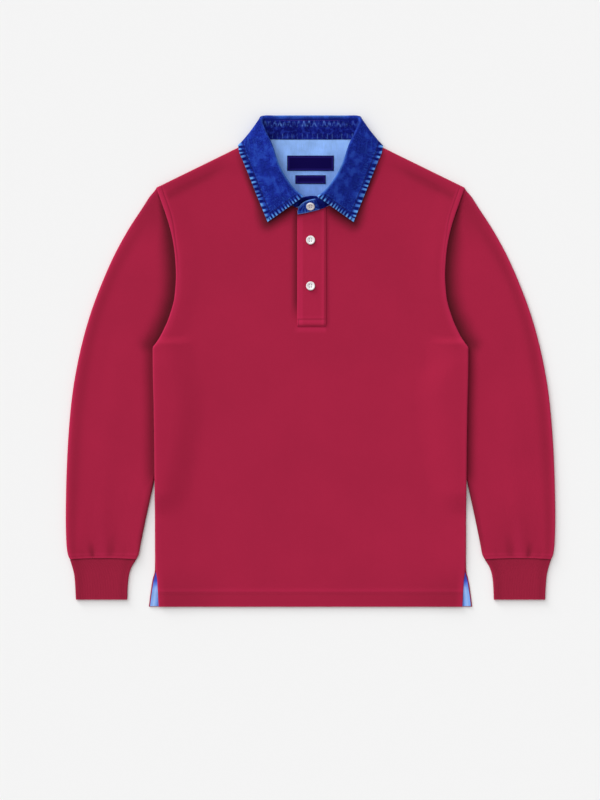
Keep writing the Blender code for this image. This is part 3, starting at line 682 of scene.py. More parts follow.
def stitch_shape():
    """The points and faces of one stitch, 1 long, 1 wide and 1 high, made from a sphere."""
    bpy.ops.mesh.primitive_uv_sphere_add(segments=8, ring_count=6, radius=0.5, rotation=(0, math.pi / 2, 0))
    bead = bpy.context.object
    bpy.ops.object.transform_apply(rotation=True)
    points = np.array([v.co for v in bead.data.vertices])
    points[:, 0] = np.sign(points[:, 0]) * 0.5 * (1 - (1 - np.abs(points[:, 0]) * 2) ** 1.6)
    faces = [list(face.vertices) for face in bead.data.polygons]
    old = bead.data
    bpy.data.objects.remove(bead)
    bpy.data.meshes.remove(old)
    return points, faces


STITCH_POINTS, STITCH_FACES = stitch_shape()
STITCH_UNEVEN = 0.08
STITCH_REACH = 0.6


def beads(name, shapes):
    """One piece made of many stitches, given by the points of each."""
    size = len(STITCH_POINTS)
    faces = [[k * size + corner for corner in face] for k in range(len(shapes)) for face in STITCH_FACES]
    mesh = bpy.data.meshes.new(name)
    mesh.from_pydata((np.concatenate(shapes) * MM).tolist(), [], faces)
    mesh.shade_smooth()
    return placed(name, mesh)


def stitches(name, lines, surface, finish, slot, *, pitch, length, thick, seed):
    """Rows of stitches along plan lines in millimetres, lying on a surface z(x, y)."""
    chance = np.random.default_rng(seed)
    shapes = []
    for line in lines:
        line = np.asarray(line, float)
        lengths = lengths_along(line)
        for place in np.arange(pitch / 2, lengths[-1], pitch):
            spots = np.clip([place - STITCH_REACH, place, place + STITCH_REACH], 0, lengths[-1])
            xy = np.stack([np.interp(spots, lengths, line[:, k]) for k in (0, 1)], axis=1)
            z = np.array([float(surface(x, y)) for x, y in xy])
            forward = unit(np.array([*(xy[2] - xy[0]), z[2] - z[0]]))
            sideways = unit(np.cross((0, 0, 1), forward))
            upward = np.cross(forward, sideways)
            size = np.array([length, thick, thick]) * (1 + STITCH_UNEVEN * chance.standard_normal())
            shape = STITCH_POINTS * size
            centre = np.array([*xy[1], z[1]]) + sideways * STITCH_UNEVEN * chance.standard_normal()
            shapes.append(centre + shape[:, :1] * forward + shape[:, 1:2] * sideways + shape[:, 2:] * upward)
    return dress(beads(name, shapes), None, slot, finish)


def thread(name, colour, paler):
    """Twisted sewing thread: two plies that show as slanting bands, and a soft gloss."""
    finish, tree = blank(name)
    x, y, z = xyz(object_place(tree))
    ply = wave(x + y + z, 0.0006)
    shown = mixed(ply * 0.3 + 0.4, colour, paler)
    return complete(finish, {"Base Color": shown, "Roughness": 0.6, "Specular IOR Level": 0.15}, ply)


crimson_thread = thread("crimson_thread", (0.35, 0.014, 0.050), (0.48, 0.022, 0.075))

HEM_ROWS_Y = (-369.6, -373.4)
HEM_TOP_Y = -368.0
HEM_STEP = 0.45


def hem_relief(y):
    """The turned-up hem is two plies thick, and its twin stitching sinks in."""
    step = HEM_STEP * fall((y - HEM_TOP_Y) / 3.5)
    sunk = sum(bump((y - row) / 0.9) for row in HEM_ROWS_Y)
    return step - 0.28 * sunk


def panel_edge(at):
    """The plan point at the edge of a body panel, for a row number."""
    return np.array([read(SECTIONS, "edge_x", at), read(SECTIONS, "edge_y", at)])


def back_panel():
    flare = [VENT_FLARE.get(s.name, 0.0) for s in SECTIONS]
    guides = []
    for s in SECTIONS:
        level = s.centre_y + (s.edge_y - s.centre_y) * BACK_GUIDE_X / s.edge_x
        guides.append(BACK_GUIDES.get(s.name, BackGuide(s.centre_y, level)))

    def row_at(at):
        start = (0.0, read(guides, "centre_y", at))
        guide = (BACK_GUIDE_X, read(guides, "guide_y", at))
        edge = panel_edge(at) + (along(flare, at), 0.0)
        bend = [BENT_NECK_POINT, COLLAR_SIDE] if at == len(SECTIONS) - 1 else [guide]
        return half_panel_row([start, *bend, edge], at, False)

    points = finish_panel(bent_last_row(row_at), False)
    return cloth("back_panel", points, JERSEY, rounded=0.3, rim=0.0, shade=0.0)


back = dress(back_panel(), "back", "crimson_jersey", crimson)

# The front.
# The same jersey, cut with a slit for the placket, a scooped neckline and armholes, and joined to
# the back at the shoulders and sides. Its hem is turned up 20 mm under twin stitching.
SLOT_HALF = 17.5
FrontStart = namedtuple("FrontStart", "x y")
FRONT_NECKLINE = {
    "base of the neck": FrontStart(SLOT_HALF, 240.5),
    "low neck": FrontStart(37.3, 252.6),
    "side of the neck": FrontStart(54.2, 271.9),
    "high neck": FrontStart(69.3, 297.9),
    "under the shoulder": FrontStart(79.0, 329.4),
    "shoulder": FrontStart(*NECK_POINT),
}
SLOT_COLUMNS = 6

# The collar: its seam on the neckline, the top of the stand, and the outer edge of the leaf.
CollarStation = namedtuple("CollarStation", "seam_x seam_y seam_z top_x top_y top_z edge_x edge_y edge_z")
COLLAR = table_of(CollarStation, [
    (0, 356.6, 5.4, 0, 386.2, 8.6, 0, 346.0, 0.95),
    (30, 356.6, 5.4, 30, 386.2, 8.6, 38, 345.8, 0.95),
    (56, 356.8, 5.6, 54, 386.0, 9.0, 74, 344.8, 1.00),
    (71, 357.4, 7.0, 69.4, 386.2, 9.6, 97, 342.8, 1.00),
    (78, 355.4, 8.8, 76.0, 384.6, 12.4, 108.4, 343.2, 1.4),
    (82.4, 350.0, 10.4, 77.6, 376.4, 16.8, 115.0, 344.2, 6.2),
    (82.6, 341.0, 11.0, 73.0, 361.0, 19.8, 113.6, 333.4, 11.2),
    (80.6, 328.0, 9.9, 64.6, 341.6, 21.4, 106.6, 316.6, 9.6),
    (71.0, 300.0, 8.2, 53.6, 310.6, 21.6, 96.4, 291.8, 8.4),
    (55.6, 274.6, 7.6, 40.0, 286.2, 20.6, 86.6, 266.8, 7.6),
    (38.4, 255.6, 8.4, 25.6, 268.0, 19.2, 77.0, 243.4, 7.2),
    (25.0, 247.0, 9.0, 14.4, 259.6, 18.2, 68.6, 222.6, 7.0),
])
LEAF_SHOWS_FROM = 5
PLACKET_LEFT = -21.3
PLACKET_RIGHT = 24.6
PLACKET_BOTTOM = 55.8


def away_from(line, *axes):
    """Distance of points from a line, in plan or in space, and how far along it they lie."""
    line = np.asarray(line, float)
    points = np.stack(np.broadcast_arrays(*axes), axis=-1)
    best = np.full(points.shape[:-1], 1e6)
    place = np.zeros(points.shape[:-1])
    done = 0.0
    for start, end in zip(line[:-1], line[1:]):
        run = end - start
        length = np.linalg.norm(run)
        if length < 1e-6:
            continue
        share = np.clip((points - start) @ run / length**2, 0, 1)
        away = np.linalg.norm(points - start - share[..., None] * run, axis=-1)
        place = np.where(away < best, done + share * length, place)
        best = np.minimum(best, away)
        done += length
    return best, place


def leaf_outline():
    """The visible outline of one leaf in plan: down its outer edge to the tip and up its front."""
    numbers = np.linspace(LEAF_SHOWS_FROM, len(COLLAR) - 1, 60)
    outer = np.stack([read(COLLAR, "edge_x", numbers), read(COLLAR, "edge_y", numbers)], axis=1)
    return np.concatenate([outer, [(COLLAR[-1].top_x, COLLAR[-1].top_y)]])


def seam_band(y):
    """Width of the armhole's seam allowance, pressed towards the body: it narrows downwards."""
    return 3.8 + 4.2 * ease((y - 186) / 52)


def seam_fade(y):
    """How far the seam allowance shows: it fades out below the chest and at the shoulder."""
    return ease((y - 110) / 80) * ease((284 - y) / 12)


def seam_relief(x, y):
    """The armhole seam allowance stands up beside its topstitching."""
    past = edge_distance(x, y) - seam_band(y)
    return seam_fade(y) * (0.45 * fall((past + 1.8) / 2.2) - 0.30 * bump(past / 0.9))


def front_panel():
    starts = [FRONT_NECKLINE.get(s.name, FrontStart(SLOT_HALF, s.centre_y)) for s in SECTIONS]

    def row_at(at):
        start = (read(starts, "x", at), read(starts, "y", at))
        bend = [BENT_NECK_POINT, COLLAR_SIDE] if at == len(SECTIONS) - 1 else [start]
        return half_panel_row([*bend, panel_edge(at)], at, True)

    points = finish_panel(bent_last_row(row_at), True)
    middle = points.shape[1] // 2
    share = np.linspace(0, 1, SLOT_COLUMNS + 2)[1:-1]
    left, right = points[:, middle - 1], points[:, middle]
    strip = left[:, None] + (right - left)[:, None] * share[None, :, None]
    strip[..., 2] = front_top(strip[..., 0], strip[..., 1]) - JERSEY / 2
    points = np.concatenate([points[:, :middle], strip, points[:, middle:]], axis=1)
    x, y = points[..., 0], points[..., 1]
    points[..., 2] += seam_relief(x, y) + hem_relief(y)

    kept = np.ones((points.shape[0] - 1, points.shape[1] - 1), bool)
    foot = int(np.argmax(right[:, 1] >= SLOT_BOTTOM_Y - 0.01))
    kept[foot:, middle - 1:middle + SLOT_COLUMNS] = False

    inside = edge_distance(x, y)
    # The rim mark is painted highlight: along the rolled edges, on the seam allowance's ridge, at the hem
    # fold, at the top of the hem and just below the placket's foot. The shade mark is painted shade and
    # shadow: in the topstitching, below the shoulder seam, in the lower corners, in the hem stitching, under
    # the collar leaf and beside the placket; it also makes the hem band a little darker.
    past_seam = inside - seam_band(y)
    at_armhole = ease((y - 16) / 20)
    rim = 0.34 * fall(inside / 3.4) + (0.14 + 0.26 * at_armhole) * fall(inside / 13)
    rim += 0.20 * seam_fade(y) * bump((past_seam - 2.2) / 1.4)
    rim += 0.16 * fall((y - HEM_Y) / 4) + 0.22 * bump((y - HEM_TOP_Y - 1.5) / 1.6)
    rim += 0.45 * bump((y - PLACKET_BOTTOM + 3.2) / 2.4) * ease((PLACKET_RIGHT + 1 - np.abs(x - 1.6)) / 3)
    shade = 0.42 * seam_fade(y) * bump(past_seam / 0.8)
    near = below_shoulder(x, y)
    shade += 0.30 * bump((near - 20) / 7) * ease((np.abs(x) - 118) / 50) * ease((inside - 8) / 8)
    shade += 0.13 * ease((-318 - y) / 50) * ease((np.abs(x) - 120) / 110) * ease((inside - 4) / 10)
    shade += 0.14 * sum(bump((y - row) / 0.9) for row in HEM_ROWS_Y)
    shade += 0.07 * fall((y - HEM_TOP_Y) / 3)
    under_leaf, _ = away_from(leaf_outline(), np.abs(x), y)
    shadow_width = 12 + 10 * ease((262 - y) / 40)
    shade = np.maximum(shade, 0.88 * fall(under_leaf / shadow_width) * ease((345 - y) / 60))
    beside = np.where(x < PLACKET_LEFT, PLACKET_LEFT - x, 99.0)
    shade = np.maximum(shade, 0.78 * fall(beside / 12) * ease((y - PLACKET_BOTTOM - 4) / 40))
    past = np.where(x > PLACKET_RIGHT, x - PLACKET_RIGHT, 99.0)
    shade = np.maximum(shade, 0.30 * fall(past / 7) * ease((y - PLACKET_BOTTOM + 4) / 6))
    return cloth("front_panel", points, JERSEY, kept=kept, rounded=0.3, rim=rim, shade=shade)


front = dress(front_panel(), "front", "crimson_jersey", crimson)


def front_surface(x, y):
    return front_top(x, y) + hem_relief(y) + seam_relief(x, y)


HEM_STITCH_END = 239.5
hem_lines = [[(-HEM_STITCH_END, row), (HEM_STITCH_END, row)] for row in HEM_ROWS_Y]
hem_stitching = stitches(
    "hem_stitching", hem_lines, front_surface, crimson_thread, "crimson_jersey",
    pitch=3.1, length=2.4, thick=0.46, seed=3,
)

# The sleeves.
# Long set-in sleeves of the same jersey, each a tube with an underarm seam. Laid flat, the body
# covers their inner folds, and they are eased into the cuffs with a few puckers.
SIDES = (("left", 1), ("right", -1))
ARMHOLE_TUBE = 4.8
ARMHOLE_TUCK = 5.0
ARMHOLE_OUTSIDE = 0.6
INNER_FOLD_SIDE = (-0.93, -0.37)
TURN_REACH = 40.0
CUFF_TOP_HEIGHT = 5.6
FOLD_ANGLES = tuple(np.linspace(-90, 90, 11))
SLEEVE_TOP_STEPS = 46
SLEEVE_UNDER_STEPS = 26
SLEEVE_ROWS_BETWEEN = 8
CUFF_SEAM_ARCH = 1.6
CUFF_SEAM_DROP = 1.2

# The puckers where the sleeve is eased into its cuff: place across the sleeve, width, depth, reach
# up the sleeve, and how dark the painted shade in its hollow is.
PUCKER_SLANT = -0.0035
Pucker = namedtuple("Pucker", "across width depth reach dark")
PUCKERS = table_of(Pucker, [
    (0.200, 0.040, 0.5, 24, 0.22),
    (0.350, 0.034, 0.9, 34, 0.44),
    (0.325, 0.090, 0.5, 62, 0.16),
    (0.480, 0.035, 0.3, 20, 0.14),
    (0.600, 0.070, 0.7, 66, 0.34),
    (0.790, 0.045, 0.4, 28, 0.18),
])

# Soft folds down the sleeve: place across it, where its middle is on the way up from the cuff,
# half its length, half its width as a share of the sleeve, and height.
SleeveFold = namedtuple("SleeveFold", "across up length width height")
SLEEVE_FOLDS = table_of(SleeveFold, [
    (0.46, 60, 70, 0.09, 0.9),
    (0.42, 230, 120, 0.14, 0.8),
    (0.58, 410, 110, 0.14, 0.7),
    (0.30, 330, 60, 0.08, -0.5),
    (0.20, 160, 70, 0.07, -0.5),
    (0.74, 120, 60, 0.07, -0.4),
])


def armhole_bow(share):
    """How far the sleeve's head lies in from the straight line between its two ends.

    It follows the armhole, and is tucked under the front's edge except near the two ends.
    """
    head = SLEEVE[-1]
    start = np.array([head.outer_x, head.outer_y])
    end = np.array([head.inner_x, head.inner_y])
    chord = end - start
    length = np.linalg.norm(chord)
    across = np.array([chord[1], -chord[0]]) / length
    armpit_y = next(s.edge_y for s in SECTIONS if s.name == "armpit")
    at, bow = [0.0], [0.0]
    for section in [s for s in SECTIONS if s.edge_y >= armpit_y][::-1]:
        tuck = ARMHOLE_TUCK * ease((section.edge_y - 42) / 26) * fall((section.edge_y - 240) / 26)
        out = ARMHOLE_OUTSIDE - tuck * (1 + ARMHOLE_OUTSIDE / ARMHOLE_TUCK)
        point = np.array([section.edge_x + out, section.edge_y])
        place = (point - start) @ chord / length**2
        if 0.03 < place < 0.97:
            at.append(place)
            bow.append((point - start) @ across)
    return np.interp(share, [*at, 1.0], [*bow, 0.0])


def tube_ring(outer, inner, bow, turn, height, wall, top_steps, under_steps):
    """One ring of a flattened tube: its plan points, heights, shares across and 1 on the top."""
    outer, inner = np.asarray(outer, float), np.asarray(inner, float)
    length = np.linalg.norm(inner - outer)
    direction = (inner - outer) / length
    across = np.array([direction[1], -direction[0]])
    radius = (height - wall) / 2
    square = np.array(INNER_FOLD_SIDE)

    def straight(distance):
        share = distance / length
        fade = ease((1 - share) / 0.3) ** (2 * (1 - bow))
        return outer + direction * distance + across * bow * fade * armhole_bow(share)

    def place(distance):
        left = length - distance
        if left >= TURN_REACH:
            return straight(distance)
        t = 1 - left / TURN_REACH
        start = straight(length - TURN_REACH)
        middle = straight(length - TURN_REACH / 2) * (1 - turn)
        middle = middle + (inner - square * TURN_REACH / 2) * turn
        return start * (1 - t) ** 2 + 2 * middle * t * (1 - t) + inner * t**2

    flat = length - wall - 2 * radius

    def fold(angles, far):
        """The rounded fold at one side of the tube."""
        for angle in angles:
            inset = wall / 2 + roll(radius, abs(angle))[0]
            distance = length - inset if far else inset
            level = height / 2 + radius * math.sin(math.radians(angle))
            yield (*place(distance), level, distance / length, angle > 0)

    def layer(shares, level, on_top):
        """One flat layer of the tube, between its folds."""
        for share in shares:
            distance = wall / 2 + radius + flat * share
            yield (*place(distance), level, distance / length, on_top)

    top_shares = 1 - (1 - np.linspace(0, 1, top_steps)[1:-1]) ** 1.15
    under_shares = 1 - np.linspace(0, 1, under_steps)[1:-1] ** 1.15
    ring = [
        *fold(FOLD_ANGLES, False), *layer(top_shares, height - wall / 2, 1.0),
        *fold(FOLD_ANGLES[::-1], True), *layer(under_shares, wall / 2, 0.0),
    ]
    return ring + ring[:1]


def tube_fields(rings):
    """The x, y, z, share across and topness of a tube's points, and 0 to 1 from its folds inwards."""
    x, y, z, share, on_top = np.moveaxis(np.array(rings, float), -1, 0)
    return x, y, z, share, on_top, np.sin(math.pi * np.clip(share, 0, 1))


def tube_cloth(name, axes, wall, rim, shade):
    points = np.stack(axes, axis=-1)
    return cloth(name, points, wall, closed=True, rim=np.clip(rim, 0, 1), shade=np.clip(shade, 0, 1))


def seam_arch(share, y, seam_y, reach):
    """The cuff seam bows up in the middle, and the cloth beside it follows."""
    bowed = CUFF_SEAM_ARCH * np.sin(math.pi * np.clip(share, 0, 1)) - CUFF_SEAM_DROP
    return bowed * fall(np.abs(y - seam_y) / reach)


BODY_EDGE = [(s.edge_x, s.edge_y) for s in SECTIONS]


def sleeve(name, side):
    rings, ups, heads = [], [], []
    for step in range((len(SLEEVE) - 1) * SLEEVE_ROWS_BETWEEN + 1):
        at = step / SLEEVE_ROWS_BETWEEN
        outer_x, outer_y, inner_x, inner_y, bow, turn = (read(SLEEVE, f, at) for f in SleeveRow._fields)
        head = ease((at - 9.5) / 4.0)
        height = TUBE - (TUBE - ARMHOLE_TUBE) * head
        if at < 1:
            height -= (TUBE - CUFF_TOP_HEIGHT) * (1 - at)
        rings.append(
            tube_ring(
                (outer_x, outer_y), (inner_x, inner_y), bow, turn, height, JERSEY,
                SLEEVE_TOP_STEPS, SLEEVE_UNDER_STEPS,
            )
        )
        ups.append(outer_y - SLEEVE[0].outer_y)
        heads.append(head)
    x, y, z, share, on_top, inward = tube_fields(rings)
    up = np.array(ups)[:, None]
    head = np.array(heads)[:, None]

    sag = 0.7 * inward * (1 - head)
    hollow = np.zeros(share.shape)
    for pucker in PUCKERS:
        slant = PUCKER_SLANT * up * (0.5 - pucker.across)
        near = bump((share - pucker.across - slant) / (pucker.width * (1 + up / 90)))
        near = near * fall(up / pucker.reach)
        near = near * np.minimum(1, up / 6 + 0.3)
        sag = sag + pucker.depth * near
        hollow = hollow + pucker.dark * near
    raised = np.zeros(share.shape)
    for fold in SLEEVE_FOLDS:
        near = bump((share - fold.across) / fold.width) * bump((up - fold.up) / fold.length)
        raised = raised + fold.height * near
    raised = raised * inward * (1 - head)
    raised = raised + 0.55 * fall(up / 5.5) * ease(inward / 0.3)

    away, _ = away_from(BODY_EDGE, x, y)
    outside = x > edge_x(y)
    beside = np.where(outside & (y < 284), away, 0.0)
    dip = np.where(outside, fall(beside / 22), 1.0) * ease((y + 230) / 60) * (y < 279)
    dip = np.where(outside, dip, 0.0) * 1.5 * (1 - head * 0.6)
    z = z + on_top * (raised - sag - dip)
    y = y + seam_arch(share, y, SLEEVE[0].outer_y, 26) * (up < 30)
    x = x - 2.2 * ease((y - 262) / 11)
    x = x - 3.0 * bump((y - 35) / 24) * ease((share - 0.8) / 0.2)

    # The shade mark is painted shade and shadow: the body's shadow on the sleeve beside its edge, shade
    # beneath the body, along the inner and outer folds, towards the cuff, in the puckers' hollows and near
    # the shoulder. The rim mark is painted highlight on the outer fold, on the ridges at the cuff seam and on
    # the sleeve's middle ridge.
    at_side = fall((y - 8) / 26)
    strength = ease((281 - y) / 44) * (0.97 - 0.33 * at_side)
    width = (5 + 32 * ease((281 - y) / 110)) * (1 - 0.36 * at_side)
    shade = np.where(outside, strength * fall(beside / width) ** 1.45, 0.9)
    shade = shade * ease((y + 214) / 40)
    inner_edge = (1 - share) * 110
    shade = np.maximum(shade, 0.45 * fall(inner_edge / 9) * ease((y + 316) / 40) * (y < -120))
    outer_edge = share * 120
    shade = np.maximum(shade, 0.20 * bump((outer_edge - 11) / 7) * ease((inward - 0.05) / 0.2))
    shade = np.maximum(shade, 0.14 * fall(up / 130) * inward)
    shade = np.maximum(shade, np.clip(hollow, 0, 0.6))
    shade = np.maximum(shade, 0.22 * ease((y - 170) / 80))
    rim = 0.50 * fall(outer_edge / 5.5)
    rim = rim + 0.30 * bump((up - 1.4) / 1.3) + 0.28 * bump((up - 6.4) / 1.3)
    rim = rim + 0.22 * bump((share - 0.48) / 0.07) * fall(up / 80)
    return tube_cloth(name, (x * side, y, z), JERSEY, rim, shade)


for name, side in SIDES:
    tube = dress(sleeve(f"{name}_sleeve", side), f"sleeve_{name}", "crimson_jersey", crimson)

# The cuffs.
# Bands of ribbed knit, folded double and sewn to the sleeve's end, a little darker than the
# jersey and narrowing below the seam.
RIB = 1.6
CuffRow = namedtuple("CuffRow", "outer_x inner_x y height")
CUFF = table_of(CuffRow, [
    (384.6, 278.5, -315.0, CUFF_TOP_HEIGHT),
    (380.6, 286.4, -329.0, 5.2),
    (377.6, 290.4, -343.0, 5.0),
    (376.2, 292.2, -360.0, 4.9),
    (375.2, 293.0, -380.6, 4.8),
])
CUFF_ROWS_BETWEEN = 8
CUFF_TOP_STEPS = 46
CUFF_UNDER_STEPS = 30
CRIMSON_RIB = (0.338, 0.0138, 0.0461)
rib_knit = jersey(
    "crimson_rib", CRIMSON_RIB, CRIMSON_PAINTED_SHADE, CRIMSON_PAINTED_HIGHLIGHT, wale=0.0009, ribs=0.0026, relief=0.0003
)


def cuff(name, side):
    rings = []
    for step in range((len(CUFF) - 1) * CUFF_ROWS_BETWEEN + 1):
        at = step / CUFF_ROWS_BETWEEN
        outer_x, inner_x, y, height = (read(CUFF, field, at) for field in CuffRow._fields)
        steps = (CUFF_TOP_STEPS, CUFF_UNDER_STEPS)
        rings.append(tube_ring((outer_x, y), (inner_x, y), 0.0, 0.0, height, RIB, *steps))
    x, y, z, share, on_top, inward = tube_fields(rings)
    down = CUFF[0].y - y
    z = z - on_top * (0.3 * inward + 0.5 * bump(down / 2.2) * inward)
    z = z + on_top * 0.35 * bump((share - 0.42) / 0.2) * bump((down - 30) / 24)
    y = y + seam_arch(share, y, CUFF[0].y, 22)
    ends = np.minimum(share, 1 - share) * 90
    # The rim mark is painted highlight at the cuff's folded ends and bottom edge; the shade mark is painted
    # shade at the seam, near the ends and towards the top.
    rim = 0.30 * fall(ends / 3.5) + 0.26 * fall((y - CUFF[-1].y) / 2.5)
    shade = 0.62 * bump(down / 1.7) + 0.14 * bump((ends - 9) / 6) + 0.08 * fall(down / 24)
    return tube_cloth(name, (x * side, y, z), RIB, rim, shade)


for name, side in SIDES:
    band = dress(cuff(f"{name}_cuff", side), f"cuff_{name}", "crimson_rib", rib_knit)

# The placket.
# Two jersey strips in the slit. The lower one carries the buttons. The upper one is folded double,
# laps over it, is topstitched down its right side and boxed at its foot, and has buttonholes.
SEAM_GAP = 0.3
PLACKET_WALL = 2.0
PLACKET_TOP_AT_LEFT = 235.2
PLACKET_TOP_SLOPE = 0.22
PLACKET_BOX_Y = 67.2
PLACKET_BUTTONS_Y = (193.6, 120.4)
BUTTONHOLE_LENGTH = 12.4
BUTTONHOLE_PITCH = 0.55
TOPSTITCH_INSET = 1.9
FOOT_SINK = 0.9
UNDER_PLACKET_TOP_Y = 239.6
UNDER_PLACKET_ROWS = 40


def patch_points(left, right, ys, columns, height):
    """Rows of points over a panel, at a height function of x and y."""
    xs = np.linspace(np.asarray(left, float), np.asarray(right, float), columns, axis=1)
    y = np.broadcast_to(np.asarray(ys, float)[:, None], xs.shape)
    return np.stack([xs, y, height(xs, y)], axis=-1)


def placket_surface(x, y):
    """The outer face of the upper placket."""
    return front_top(x, y) + SEAM_GAP + PLACKET_WALL


under_ys = np.linspace(SLOT_BOTTOM_Y + SEAM_GAP, UNDER_PLACKET_TOP_Y, UNDER_PLACKET_ROWS)
under_side = np.full(UNDER_PLACKET_ROWS, SLOT_HALF - 0.5)
under_points = patch_points(-under_side, under_side, under_ys, 12, lambda x, y: front_top(x, y) - JERSEY / 2)
under_placket = cloth("under_placket", under_points, JERSEY, rounded=0.3, rim=0.0, shade=0.25)
dress(under_placket, "placket_under", "crimson_jersey", crimson)


def placket_relief(x, y):
    """Topstitching down the right side, round the box, and the worked edge of each buttonhole."""
    right = bump((x - PLACKET_RIGHT + TOPSTITCH_INSET) / 0.8)
    low = bump((y - PLACKET_BOTTOM - TOPSTITCH_INSET) / 0.8)
    box = bump((y - PLACKET_BOX_Y) / 0.8)
    left = bump((x - PLACKET_LEFT - TOPSTITCH_INSET) / 0.8) * fall((y - PLACKET_BOX_Y) / 2)
    sunk = -0.35 * np.maximum(np.maximum(right, low), np.maximum(box, left))
    for button_y in PLACKET_BUTTONS_Y:
        within = fall((np.abs(y - button_y) - BUTTONHOLE_LENGTH / 2) / 1.2)
        sunk = sunk + within * (0.10 * bump((np.abs(x) - 1.3) / 0.8) - 0.06 * bump(x / 0.5))
    return sunk


def upper_placket():
    xs = np.linspace(PLACKET_LEFT, PLACKET_RIGHT, 60)
    share = np.linspace(0, 1, 176)[:, None]
    top = PLACKET_TOP_AT_LEFT + PLACKET_TOP_SLOPE * (xs - PLACKET_LEFT)
    y = PLACKET_BOTTOM + (top - PLACKET_BOTTOM) * share
    x = np.broadcast_to(xs, y.shape)
    ends = np.minimum(x - PLACKET_LEFT, PLACKET_RIGHT - x)
    z = placket_surface(x, y) - PLACKET_WALL / 2 + placket_relief(x, y) - 0.4 * bump(ends / 1.2)
    z += 0.18 * np.sin(y / 21.0) * ease(ends / 12)
    relief = placket_relief(x, y)
    # The rim mark is painted highlight: a little over the whole placket, more along its left side and edge,
    # in a band near its right side, on the buttonholes' raised edges and beside the box stitching. The shade
    # mark is painted shade in the stitching's grooves, and painted shadow just below the stand.
    rim = 0.25 * fall((x - PLACKET_LEFT - 7.5) / 3) + 0.08 + 0.20 * bump((PLACKET_RIGHT - x - 5) / 2.2)
    rim = rim + np.clip(relief, 0, 1) * 0.3 + 0.12 * fall((x - PLACKET_LEFT) / 2)
    boxed = bump((y - PLACKET_BOX_Y + 3.4) / 2.2) + bump((y - PLACKET_BOX_Y - 3.2) / 2.4) * 0.5
    rim = rim + 0.25 * boxed
    shade = np.clip(-relief, 0, 1) * 0.95
    stand_line = 240.0 + 0.32 * (x + 20)
    shade = np.maximum(shade, 0.8 * fall((stand_line - y) / 16))
    z = z - FOOT_SINK * fall((y - PLACKET_BOTTOM) / 3)
    points = np.stack([x, y, z], axis=-1)
    return cloth("upper_placket", points, PLACKET_WALL, rounded=0.5, rim=np.clip(rim, 0, 1), shade=shade)


placket = dress(upper_placket(), "placket_over", "crimson_jersey", crimson)


def placket_stitch_surface(x, y):
    return placket_surface(x, y) + placket_relief(x, y) + 0.10


topstitch_x = PLACKET_RIGHT - TOPSTITCH_INSET
box_left = PLACKET_LEFT + TOPSTITCH_INSET
foot_y = PLACKET_BOTTOM + TOPSTITCH_INSET
placket_lines = [
    [(topstitch_x, 238), (topstitch_x, foot_y)],
    [(topstitch_x, foot_y), (box_left, foot_y), (box_left, PLACKET_BOX_Y), (topstitch_x, PLACKET_BOX_Y)],
]
placket_stitching = stitches(
    "placket_stitching", placket_lines, placket_stitch_surface, crimson_thread, "crimson_jersey",
    pitch=2.9, length=2.3, thick=0.44, seed=5,
)
buttonhole_lines = []
for button_y in PLACKET_BUTTONS_Y:
    for step in range(int(BUTTONHOLE_LENGTH / BUTTONHOLE_PITCH)):
        y = button_y - BUTTONHOLE_LENGTH / 2 + step * BUTTONHOLE_PITCH
        buttonhole_lines += [[(edge * 0.5, y), (edge * 2.1, y)] for edge in (-1, 1)]
buttonhole_stitching = stitches(
    "buttonhole_stitching", buttonhole_lines, placket_stitch_surface, crimson_thread, "crimson_jersey",
    pitch=1.6, length=1.7, thick=0.40, seed=7,
)

# The collar stand.
# A band of washed indigo denim round the neckline, its left end lapping over its right. Its inner
# face shows at the back of the neck, puckered and paler along its two rows of stitching.
DENIM = 1.8
StandRow = namedtuple("StandRow", "seam_x seam_y seam_z top_x top_y top_z")
STAND_OVER = table_of(StandRow, [
    (13.0, 242.2, 9.2, 6.0, 258.0, 19.4),
    (0.0, 239.0, 9.2, -4.6, 255.6, 19.6),
    (-11.0, 236.6, 9.2, -13.4, 251.4, 17.2),
    (-17.6, 235.4, 9.2, -18.6, 245.6, 14.0),
    (-20.6, 234.9, 9.2, -20.8, 239.4, 11.0),
])
STAND_UNDER = table_of(StandRow, [
    (-14.0, 248.4, 7.6, -7.0, 262.0, 15.6),
    (-3.0, 249.4, 7.2, 1.0, 263.4, 15.0),
    (7.0, 250.4, 7.2, 8.6, 263.0, 14.6),
    (13.0, 251.6, 7.2, 13.6, 259.6, 12.0),
])
COLLAR_STEPS = 17
STAND_COLUMNS = 22
STAND_END_STEPS = 8


def stretched(place, across, along_it):
    """A place whose lengths are scaled, so that noise read there is drawn out."""
    return add(place.tree, "VectorMath", {0: place, 1: (across, along_it, 1.0)}, operation="MULTIPLY")[0]


def joined(x, y):
    """A place made of two lengths."""
    return add(x.tree, "CombineXYZ", {0: x, 1: y})[0]


def by_chance(number):
    """A random value for each whole number."""
    return add(number.tree, "TexWhiteNoise", {"W": number}, noise_dimensions="1D")[0]


def spread(value, low, high, to_low=0.0, to_high=1.0):
    """A value mapped from one range to another and held inside it."""
    return add(value.tree, "MapRange", {0: value, 1: low, 2: high, 3: to_low, 4: to_high})[0]


def washed_twill(tree, place, rib):
    """Slanting ribs, a broken weft and slubs, from UV lengths in metres."""
    x, y, _ = xyz(place)
    across, down = x / rib, y / rib
    height = wave(down, 1 / 3) * 0.25 + wave(across + down)
    return height, noise(stretched(place, 620.0, 1250.0)), noise(stretched(place, 90.0, 260.0), detail=4.0)


